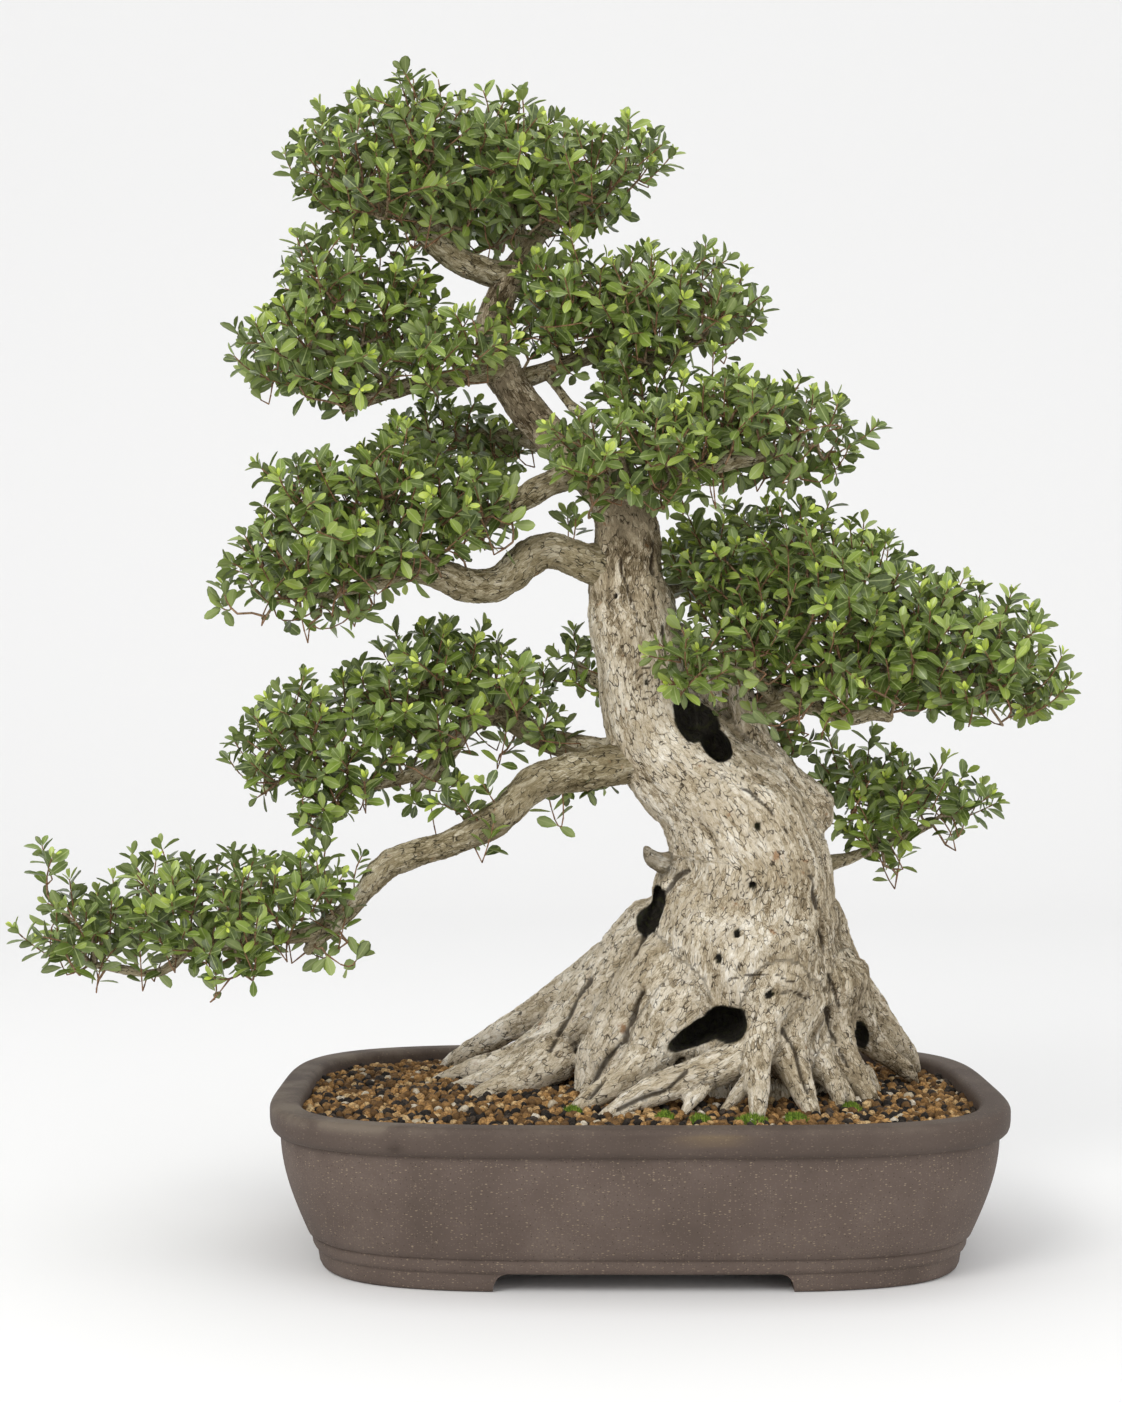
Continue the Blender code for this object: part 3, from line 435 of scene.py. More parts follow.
# %% The clay material
def clay_material():
    """Warm brown-grey stoneware: slow tone changes, pale drawn-out grog flecks, dark pits and a worn rim."""
    material, tree, surface = new_material("unglazed_stoneware", Roughness=0.78, Specular_IOR_Level=0.35)
    place = add_node(tree, "ShaderNodeTexCoord").outputs["Object"]
    slow = add_node(tree, "ShaderNodeTexNoise", {"Scale": 22.0, "Detail": 5.0, "Roughness": 0.6},
                    {"Vector": place}).outputs["Fac"]
    fine = add_node(tree, "ShaderNodeTexNoise", {"Scale": 900.0, "Detail": 4.0, "Roughness": 0.7},
                    {"Vector": place}).outputs["Fac"]
    drawn = add_node(tree, "ShaderNodeMapping", {"Scale": (1.0, 1.0, 2.4)}, {"Vector": place})
    body = ramp(tree, slow, [(0.30, "52463f"), (0.5, "5d5049"), (0.7, "685b53")])
    body = blended(tree, span(tree, fine, 0.35, 0.7, 0.0, 0.5), body, linear("57493f"))
    for scale, threshold, code in ((360.0, 0.27, "8a7a67"), (640.0, 0.24, "7f7060")):
        grog = add_node(tree, "ShaderNodeTexVoronoi", {"Scale": scale}, {"Vector": drawn.outputs[0]})
        some = add_node(tree, "ShaderNodeSeparateColor", links={"Color": grog.outputs["Color"]})
        speck = worked(tree, "MULTIPLY", span(tree, grog.outputs["Distance"], 0.32, 0.16),
                       span(tree, some.outputs[0], 0.42 + threshold, 0.5 + threshold))
        body = blended(tree, speck, body, linear(code))
    pit = add_node(tree, "ShaderNodeTexVoronoi", {"Scale": 420.0}, {"Vector": place})
    pitted = span(tree, pit.outputs["Distance"], 0.16, 0.1)
    body = blended(tree, pitted, body, linear("3d322b"))
    axes = add_node(tree, "ShaderNodeSeparateXYZ", links={"Vector": place}).outputs
    body = blended(tree, span(tree, axes["Z"], 0.076, 0.082, 0.0, 0.55), body, linear("463b34"))
    worn = worked(tree, "MULTIPLY", span(tree, axes["Z"], 0.088, 0.0955),
                  span(tree, slow, 0.42, 0.62, 0.05, 0.6))
    worn = worked(tree, "MULTIPLY", worn, span(tree, axes["X"], 0.02, -0.14, 0.25, 1.0))
    body = blended(tree, worn, body, linear("7d7264"))
    stain = add_node(tree, "ShaderNodeAttribute", {"attribute_name": "stain"})
    marks = add_node(tree, "ShaderNodeSeparateXYZ", links={"Vector": stain.outputs["Vector"]})
    body = blended(tree, span(tree, marks.outputs["X"], 0.1, 1.0, 0.0, 0.4), body, linear("8c7650"))
    body = blended(tree, span(tree, marks.outputs["Y"], 0.1, 1.0, 0.0, 0.75), body, linear("3a2f28"))
    tree.links.new(body, surface.inputs["Base Color"])
    roughened(tree, surface, worked(tree, "SUBTRACT", fine, pitted), 0.5, 0.0004)
    return material


clay = clay_material()

# %% Finish the pot
# Marks on the front: place along X from the pot's middle, height and half sizes, in mm,
# then which of the stain's shares they add to, the yellow water mark or the dark scuff
YELLOW, DARK = 0, 1
MARKS = [(38, 90, 22, 3.5, YELLOW), (-137, 84, 5, 3.5, DARK), (-6, 92, 7, 1.6, DARK),
         (118, 90, 4, 1.4, DARK)]
SHARP_ANGLE = 38

pot_mesh = carved(pot_points, pot_blocks, cutters)
pot_points, pot_triangles = mesh_arrays(pot_mesh)
stain = np.zeros((len(pot_points), 3))
front = pot_points[:, 1] < 0
for x, z, wide, high, kind in MARKS:
    offset = np.stack([(pot_points[:, 0] - pot_middle[0] - x * MM) / (wide * MM),
                       (pot_points[:, 2] - z * MM) / (high * MM)], axis=1)
    stain[:, kind] = np.maximum(stain[:, kind], front * np.exp(-(offset ** 2).sum(1)))
pot = put_mesh("clay_pot", pot_points, [pot_triangles], clay, {"stain": stain})
pot.data.polygons.foreach_set("use_smooth", np.ones(len(pot.data.polygons), bool))
pot.data.set_sharp_from_angle(angle=math.radians(SHARP_ANGLE))
place_piece(pot, "pot", "pot")

# %% [markdown]
# ## The wood
#
# A trunk and its surface roots are round limbs that run into each other. Each limb is a smooth
# route with a radius, in millimetres from the foot of the tree. Tubes along the routes overlap,
# and a voxel remesh fuses them into one skin. The rot hollows and small holes are then cut out.

# %% Routes of the trunk and the roots
TRUNK = [
    (-5, 18, -10, 60), (-7, 16, 26, 64), (-9, 12, 61, 64), (-10, 8, 89, 62), (-7, 4, 114, 58),
    (-5, 0, 136, 51), (-12, -2, 157, 46), (-25, -2, 177, 42), (-42, -2, 196, 38),
    (-59, 0, 215, 34), (-69, 0, 237, 29), (-73, 0, 261, 27), (-76, 0, 286, 27),
    (-80, 0, 307, 24), (-80, 0, 332, 21), (-83, 0, 353, 19), (-93, 0, 370, 17),
    (-111, 0, 386, 14), (-129, 0, 401, 12), (-145, 0, 419, 12), (-157, 0, 439, 11),
    (-163, 0, 458, 10.5), (-160, 0, 478, 10), (-150, 0, 500, 8.5), (-146, 2, 508, 6),
]
STRANDS = [
    [(25, 0, 166, 24), (11, -4, 189, 16), (-1, -6, 209, 11), (-8, -8, 229, 9), (-13, -4, 249, 8),
     (-20, 6, 270, 5)],
    [(8, 14, 181, 22), (-9, 18, 206, 16), (-21, 20, 229, 13), (-34, 18, 252, 12),
     (-50, 10, 276, 12)],
]
ROOTS = [
    [(-36, 22, 100, 30), (-82, 40, 71, 22), (-112, 52, 53, 14), (-138, 64, 36, 10),
     (-164, 78, 18, 8.5), (-188, 92, 1, 6), (-198, 98, -10, 3)],
    [(-53, 20, 85, 37), (-92, 24, 53, 25), (-119, 28, 28, 17), (-144, 34, 12, 12),
     (-172, 40, 5, 7.5), (-198, 50, -4, 3)],
    [(-134, 20, 15, 12), (-162, 18, 4, 7), (-188, 20, -4, 3)],
    [(-122, 8, 18, 16), (-146, -2, 4, 11), (-164, -14, -2, 8), (-178, -28, -7, 3)],
    [(-48, -5, 69, 36), (-73, -4, 38, 28), (-90, -6, 17, 20), (-100, -14, 0, 13),
     (-107, -22, -10, 5)],
    [(-37, -14, 64, 34), (-57, -26, 38, 21), (-71, -36, 21, 14), (-89, -52, 9, 9),
     (-104, -60, 2, 6.5), (-116, -70, -6, 3)],
    [(7, -36, 42, 15), (-12, -50, 29, 13), (-36, -60, 19, 11), (-60, -68, 12, 10),
     (-81, -78, 4, 7), (-99, -88, -5, 3)],
    [(-35, -62, 16, 7.5), (-43, -72, 6, 4.5), (-50, -78, -3, 2.5)],
    [(5, -34, 66, 24), (-2, -46, 44, 14), (-6, -62, 26, 9), (-7, -80, 11, 7), (-9, -94, -6, 4)],
    [(-8, -70, 19, 6), (-18, -70, 8, 4.5), (-28, -72, -4, 2.5)],
    [(17, -24, 56, 24), (13, -36, 33, 15), (17, -52, 17, 10), (22, -70, 4, 7), (26, -84, -5, 3.5)],
    [(28, -14, 36, 16), (33, -24, 21, 10), (40, -36, 11, 7), (43, -58, -4, 3)],
    [(38, -30, 16, 6.5), (47, -38, 6, 5), (53, -46, -4, 2.5)],
    [(39, -2, 62, 27), (42, -8, 37, 17), (51, -16, 17, 11), (59, -26, 4, 8), (67, -36, -5, 3)],
    [(55, -8, 19, 7.5), (65, -6, 9, 5), (71, -8, -2, 2.5)],
    [(48, 18, 62, 24), (65, 24, 32, 13), (81, 30, 16, 7.5), (95, 38, 4, 5.5), (102, 46, -7, 2.5)],
    [(26, 26, 96, 30), (52, 42, 58, 23), (80, 58, 28, 14), (100, 70, 8, 7.5), (107, 78, -8, 3)],
    [(-12, 30, 84, 36), (-30, 62, 46, 24), (-47, 92, 21, 12), (-58, 118, -6, 4)],
    [(16, 34, 82, 34), (32, 72, 44, 23), (44, 102, 18, 11), (52, 124, -6, 4)],
    [(-34, 32, 72, 32), (-74, 68, 34, 17), (-100, 96, 10, 8.5), (-114, 112, -8, 3.5)],
]
STUB = [(-42, -8, 133, 9), (-56, -12, 137, 7.5), (-66, -14, 142, 5.5), (-70, -14, 149, 2.5)]

# %% Routes of the branches
BRANCHES = {
    "branch_lowest_left": [
        [(-66, -8, 202, 13), (-97, -12, 197, 12), (-119, -16, 193, 11), (-140, -22, 185, 11),
         (-156, -26, 169, 9.5), (-176, -30, 157, 9), (-199, -34, 148, 8.5), (-224, -38, 140, 9),
         (-237, -40, 125, 7), (-252, -44, 108, 6), (-264, -46, 97, 4.5), (-271, -48, 89, 3)],
        [(-249, -44, 111, 5), (-275, -50, 98, 4.5), (-297, -54, 98, 4), (-321, -54, 93, 4),
         (-341, -50, 90, 3.5), (-352, -48, 80, 3.5), (-365, -48, 76, 3), (-400, -43, 81, 2.5)],
    ],
    "branch_lower_left": [
        [(-72, 10, 208, 9.5), (-103, 18, 207, 8.5), (-131, 24, 213, 8), (-147, 26, 223, 7.5),
         (-162, 26, 229, 7.5), (-178, 24, 223, 7.5), (-189, 22, 210, 7), (-199, 20, 194, 6),
         (-210, 20, 184, 4)],
        [(-196, 20, 198, 5), (-221, 16, 189, 4.5), (-242, 12, 185, 3.5), (-266, 10, 190, 3),
         (-288, 8, 196, 2.5)],
        [(-160, 26, 229, 5), (-184, 34, 237, 4.5), (-205, 38, 242, 3)],
    ],
    "branch_middle_left": [
        [(-80, -4, 313, 14), (-111, -8, 324, 12), (-128, -10, 328, 11.5), (-143, -14, 322, 11),
         (-158, -18, 309, 10.5), (-176, -22, 307, 9.5), (-194, -26, 314, 9), (-209, -28, 316, 8),
         (-224, -30, 311, 6), (-248, -30, 304, 4), (-278, -28, 299, 3)],
        [(-194, -26, 314, 5.5), (-217, -34, 327, 4), (-240, -38, 335, 3)],
    ],
    "branch_above_middle_left": [
        [(-92, -4, 376, 9), (-108, -10, 375, 7.5), (-120, -14, 372, 7.5), (-134, -18, 365, 7.5),
         (-146, -20, 356, 6), (-158, -20, 346, 5), (-178, -18, 349, 3.5)],
    ],
    "branch_upper_left": [
        [(-152, 0, 442, 8), (-179, -14, 434, 6), (-203, -20, 429, 5.5), (-227, -24, 423, 5.5),
         (-241, -26, 417, 4), (-249, -26, 413, 3)],
        [(-218, -22, 425, 4), (-242, -20, 442, 3.5), (-268, -18, 450, 3)],
    ],
    "crown_limb": [
        [(-151, 0, 497, 8), (-163, -4, 498, 8.5), (-179, -10, 503, 8), (-194, -14, 511, 7.5),
         (-205, -16, 520, 6), (-220, -18, 532, 4), (-240, -20, 541, 3)],
        [(-194, -14, 511, 5), (-201, -10, 538, 3.5), (-206, -6, 560, 2.5)],
    ],
    "crown_leader": [
        [(-152, 2, 499, 7), (-143, 6, 512, 6), (-127, 10, 530, 4.5), (-103, 10, 545, 3)],
        [(-143, 6, 512, 5), (-149, 10, 538, 3.5), (-156, 14, 560, 2.5)],
    ],
    "branch_upper_right": [
        [(-160, 2, 431, 7.5), (-131, 8, 440, 5.5), (-112, 10, 446, 5.5), (-96, 10, 451, 6),
         (-79, 8, 445, 5.5), (-57, 6, 449, 4.5), (-34, 4, 460, 3)],
        [(-96, 10, 451, 4.5), (-97, 8, 470, 3.5), (-102, 4, 484, 2.5)],
        [(-129, 6, 438, 3), (-120, -4, 424, 3), (-112, -12, 414, 3), (-98, -24, 405, 2.5)],
    ],
    "branch_right_middle": [
        [(-88, 0, 362, 9), (-70, -22, 366, 7), (-44, -34, 374, 6), (-14, -36, 381, 5),
         (14, -32, 385, 3.5)],
        [(-97, 4, 374, 7), (-66, 20, 396, 5.5), (-36, 30, 412, 4)],
    ],
    "branch_big_right": [
        [(-10, 2, 226, 9), (6, -2, 235, 9.5), (25, -8, 243, 8.5), (45, -12, 249, 7.5),
         (72, -16, 254, 5.5), (102, -20, 254, 4), (130, -22, 248, 3)],
        [(18, -8, 239, 6), (39, -18, 231, 5.5), (53, -24, 227, 5), (66, -28, 230, 5),
         (77, -30, 227, 3.5)],
        [(45, -12, 249, 5.5), (55, -4, 273, 4.5), (62, 0, 292, 3)],
        [(9, -4, 239, 5.5), (-8, -40, 252, 4), (-30, -60, 256, 3)],
    ],
    "branch_low_right": [
        [(18, 22, 168, 6.5), (38, 34, 170, 4.5), (51, 38, 176, 4), (68, 42, 177, 3),
         (90, 44, 182, 2.5)],
    ],
    "branch_low_right_under": [
        [(34, 22, 134, 6.5), (57, 34, 138, 4), (74, 38, 144, 3.5), (92, 40, 150, 3),
         (112, 40, 160, 2.5)],
    ],
    "branch_behind_left": [
        [(-78, 8, 240, 6.5), (-99, 34, 249, 4.5), (-110, 46, 260, 3)],
    ],
    "branch_back_right": [
        [(-74, 8, 298, 9), (-54, 44, 306, 7), (-38, 80, 317, 6), (-24, 108, 327, 4)],
    ],
    "branch_back_left": [
        [(-122, 4, 394, 8), (-148, 34, 402, 5.5), (-172, 56, 407, 4)],
    ],
}

# %% Hollows and cracks
# Rot hollows: middle, half sizes, then lean to the right in degrees
HOLLOWS = [
    ((-44, -26, 227), (8, 20, 15), -18),
    ((-33, -26, 228), (9, 20, 17), 0),
    ((-28, -25, 211), (8, 18, 13), -28),
    ((-34, -46, 42), (7, 30, 24), 62),
    ((-24, -46, 46), (12, 28, 10), 0),
    ((63, -2, 28), (7, 22, 12), -10),
    ((-64, -8, 110), (11, 14, 16), 35),
]
# Small holes and knots on the front, where twigs died back: place along X, height and radius
HOLES = [(-5, 162, 2.6), (-16, 101, 2.2), (-28, 85, 2.4), (1, 63, 2.3), (-8, 127, 2.4)]
KNOTS = [(-8, 127, 8.5), (-70, 248, 9.5), (-88, 300, 6.5), (-96, 208, 7.5), (-146, 322, 7.0)]
# Creases and long cracks on the front: a route of places along X and heights, then half width and depth
CRACKS = [
    ([(-74, 62), (-80, 46), (-85, 32), (-94, 20), (-103, 6)], 2.4, 5.0),
    ([(-48, 22), (-58, 12), (-72, 9), (-88, 2)], 1.8, 3.0),
    ([(-104, 66), (-112, 54), (-118, 40), (-128, 24)], 1.8, 3.0),
    ([(-40, 138), (-52, 130), (-60, 120), (-70, 96), (-80, 78)], 1.6, 2.2),
    ([(-62, 342), (-66, 318), (-62, 296), (-56, 268)], 1.3, 2.4),
    ([(-88, 338), (-84, 318), (-80, 300), (-72, 282)], 1.2, 2.2),
    ([(-50, 262), (-42, 246), (-30, 236)], 1.4, 2.4),
    ([(-30, 198), (-14, 186), (2, 172), (14, 158)], 1.1, 1.6),
    ([(28, 132), (34, 106), (38, 78), (46, 52)], 1.4, 2.4),
    ([(-4, 70), (6, 64), (16, 66), (26, 60)], 1.0, 1.6),
    ([(-22, 72), (-10, 76), (4, 75), (18, 72)], 0.9, 1.4),
    ([(40, 54), (44, 36), (52, 18)], 1.6, 3.0),
    ([(12, 44), (18, 28), (22, 10)], 1.6, 3.0),
]
FOOT = np.array([128.0, 0.0, 92.0])
ROOT_ZONE = 90
ROOT_SPREAD = np.array([1.02, 1.06])


def placed(points):
    """Tree millimetres as world metres: the roots spread a little more than the rest."""
    points = np.asarray(points, float)
    share = smoothstep(0, ROOT_ZONE, points[:, 2:3])
    spread = ROOT_SPREAD + (1 - ROOT_SPREAD) * share
    return (FOOT + np.concatenate([points[:, :2] * spread, points[:, 2:3]], axis=1)) * MM


print("limbs:", len(BRANCHES), "roots:", len(ROOTS))

# %% Smooth routes and tubes
STEP = 4.0
TUBE_SIDES = 20


def smooth_route(route):
    """A Catmull-Rom curve through the route's points: place and radius at each step along it."""
    knots = np.array([route[0], *route, route[-1]], float)
    found = []
    for before, start, stop, after in zip(knots, knots[1:], knots[2:], knots[3:]):
        steps = max(2, round(np.linalg.norm(stop[:3] - start[:3]) / STEP))
        share = (np.arange(steps) / steps)[:, None]
        found.append(0.5 * (2 * start + (stop - before) * share
                            + (2 * before - 5 * start + 4 * stop - after) * share ** 2
                            + (3 * start - 3 * stop + after - before) * share ** 3))
    curve = np.concatenate([*found, knots[-1:]])
    return np.concatenate([placed(curve[:, :3]), curve[:, 3:] * MM], axis=1)


def carried_frames(centres):
    """Tangent and two cross directions along a curve, turned no more than the curve itself turns."""
    along = unit(np.gradient(centres, axis=0))
    across = np.zeros_like(along)
    start = np.cross(along[0], (0.0, 1.0, 0.0) if abs(along[0][1]) < 0.9 else (1.0, 0.0, 0.0))
    across[0] = start / np.linalg.norm(start)
    for place in range(1, len(along)):
        turned = across[place - 1] - along[place] * (across[place - 1] @ along[place])
        across[place] = turned / np.linalg.norm(turned)
    return along, across, np.cross(along, across)


def tube(curve, seed, fluted):
    """A closed round tube along a curve of places and radii; slow noise round it makes old wood uneven."""
    centres, radii = curve[:, :3], curve[:, 3]
    along, across, side = carried_frames(centres)
    angle = np.linspace(0, 2 * np.pi, TUBE_SIDES, endpoint=False)
    out = across[:, None] * np.cos(angle)[None, :, None] + side[:, None] * np.sin(angle)[None, :, None]
    length = np.concatenate([[0], np.cumsum(np.linalg.norm(np.diff(centres, axis=0), axis=1))])
    grid = np.stack(np.broadcast_arrays(np.cos(angle) * 1.3, np.sin(angle) * 1.3,
                                        length[:, None] / (22 * MM)), axis=-1).reshape(-1, 3)
    ripple = 1 + fluted * (value_noise(grid + seed * 7.3, seed) - 0.5).reshape(len(radii), TUBE_SIDES)
    rings = centres[:, None] + out * (radii[:, None] * ripple)[..., None]
    cap = 0.55 * radii[[0, -1], None, None]
    start = centres[0] + (rings[:1] - centres[0]) * 0.7 - along[0] * cap[0]
    stop = centres[-1] + (rings[-1:] - centres[-1]) * 0.7 + along[-1] * cap[1]
    return closed_skin(np.concatenate([start, rings, stop]))


def joined(shapes):
    """Several (points, blocks) shapes as one, with their face numbers moved on."""
    points, blocks, base = [], [], 0
    for shape_points, shape_blocks in shapes:
        points.append(shape_points)
        blocks.extend(block + base for block in shape_blocks)
        base += len(shape_points)
    return np.concatenate(points), blocks


def ellipsoid(middle, half_sizes, lean, rings=10, sides=16):
    """A closed ellipsoid in tree millimetres, leaning to the right by some degrees."""
    rise = np.linspace(-np.pi / 2, np.pi / 2, rings + 2)[1:-1]
    angle = np.linspace(0, 2 * np.pi, sides, endpoint=False)
    wide = np.cos(rise)[:, None] * np.cos(angle) * half_sizes[0]
    deep = np.cos(rise)[:, None] * np.sin(angle) * half_sizes[1]
    high = np.sin(rise)[:, None] * np.ones(sides) * half_sizes[2]
    turn = math.radians(lean)
    grid = np.stack([wide * math.cos(turn) + high * math.sin(turn), deep,
                     high * math.cos(turn) - wide * math.sin(turn)], axis=2)
    return closed_skin(placed([middle])[0] + grid * MM)


# %% [markdown]
# ### Bark
#
# Old bark splits along the wood into flakes about 3 mm wide and three times as long. To follow
# the wood, each point of the skin gets coordinates of its own: how far along the nearest limb it
# lies, and where it is across that limb. Flakes are cells in those coordinates. They are pressed
# into the mesh as real relief, and the material then reads the same coordinates for finer detail.

# %% Wood coordinates
POINTS_AT_ONCE = 20000


def wood_coordinates(points, curves):
    """For each point, its place along the nearest limb and two offsets across, then that radius, in mm."""
    samples = []
    for curve in curves:
        along, across, side = carried_frames(curve[:, :3])
        gone = np.concatenate([[0], np.cumsum(np.linalg.norm(np.diff(curve[:, :3], axis=0), axis=1))])
        samples.append(np.column_stack([curve, along, across, side, gone]))
    samples = np.concatenate(samples)
    nearest = np.empty(len(points), int)
    for start in range(0, len(points), POINTS_AT_ONCE):
        part = points[start:start + POINTS_AT_ONCE]
        squared = ((part ** 2).sum(1)[:, None] + (samples[:, :3] ** 2).sum(1)[None]
                   - 2 * part @ samples[:, :3].T)
        nearest[start:start + POINTS_AT_ONCE] = (np.sqrt(np.maximum(squared, 0)) - samples[:, 3]).argmin(1)
    picked = samples[nearest]
    offset = points - picked[:, :3]
    travelled = picked[:, 13] + (offset * picked[:, 4:7]).sum(1)
    return np.stack([travelled, (offset * picked[:, 7:10]).sum(1),
                     (offset * picked[:, 10:13]).sum(1)], axis=1) / MM, picked[:, 3] / MM


def route_distance(flat, route):
    """The distance in mm from flat places (n, 2) to a line through a route's points."""
    best = np.full(len(flat), 1e9)
    for start, stop in zip(np.array(route[:-1], float), np.array(route[1:], float)):
        along = stop - start
        share = np.clip((flat - start) @ along / (along @ along), 0, 1)
        best = np.minimum(best, np.linalg.norm(flat - start - share[:, None] * along, axis=1))
    return best


# %% Fuse and carve the wood
FLAKE = np.array([8.5, 2.9, 2.9])
SMALL_FLAKE = np.array([4.2, 1.7, 1.7])
HALF_RELIEF = 0.75


def fused_wood(curves, voxel, hollows, seed, fluted):
    """Tubes along curves fused into one skin, with the hollows cut out and the steps smoothed."""
    points, blocks = joined([tube(curve, seed + k, fluted) for k, curve in enumerate(curves)])
    remeshing = ("REMESH", {"mode": "VOXEL", "voxel_size": voxel})
    smoothing = ("SMOOTH", {"factor": 0.5, "iterations": 3})
    skin_points, skin_triangles = mesh_arrays(modified(points, blocks, remeshing))
    if not hollows:
        return modified(skin_points, [skin_triangles], smoothing)
    skin = carved(skin_points, [skin_triangles], hollows, solver="MANIFOLD")
    skin_points, skin_triangles = mesh_arrays(skin)
    return modified(skin_points, [skin_triangles], remeshing, smoothing)


def skin_data(skin):
    """Points, normals and triangles of a remeshed skin."""
    points = np.empty(len(skin.vertices) * 3)
    skin.vertices.foreach_get("co", points)
    normals = np.empty(len(skin.vertices) * 3)
    skin.vertices.foreach_get("normal", normals)
    _, triangles = mesh_arrays(skin)
    return points.reshape(-1, 3), normals.reshape(-1, 3), triangles


def bark_relief(points, curves, seed, size=1.0, knobbly=1.0):
    """Height of the bark in mm, depth of its cracks from 0 to 1, a tone with painted light on ridges and
    knobs and painted shade between them, and the grain.
    """
    grain, radius = wood_coordinates(points, curves)
    warp = np.stack([value_noise(points / (9 * MM) + k * 31.7, seed + k) for k in range(3)], axis=1) - 0.5
    places = grain + warp * np.array([7.0, 3.2, 3.2])
    gap, tone = plates(places / (FLAKE * size), seed)
    small_gap, small_tone = plates(places / (SMALL_FLAKE * size), seed + 5)
    lumps = value_noise(points / (17 * MM), seed + 9) - 0.5
    knobs = value_noise(points / (7 * MM), seed + 10) - 0.5
    ridges = value_noise(places / np.array([26.0, 5.5, 5.5]), seed + 11) - 0.5
    crack = 1 - smoothstep(0.02, 0.30, gap)
    small_crack = 1 - smoothstep(0.02, 0.3, small_gap)
    amount = np.clip(radius / 14, 0.35, 1.0)
    height = amount * (0.8 * (tone - 0.5) - 0.6 * crack - 0.35 * small_crack + 2.0 * ridges
                       + knobbly * (1.9 * lumps + 1.5 * knobs))
    depth = 0.55 * crack * smoothstep(0.35, 0.75, value_noise(points / (15 * MM), seed + 12))
    patches = value_noise(points / (24 * MM), seed + 13) - 0.5
    # Ridges and knobs raise the tone: painted light on them and painted shade in the valleys between them.
    # Flakes and patches vary it at random.
    shade = 0.5 * tone + 0.5 * small_tone + 0.9 * ridges + 0.5 * knobs + 0.7 * patches
    return height, depth, shade, grain


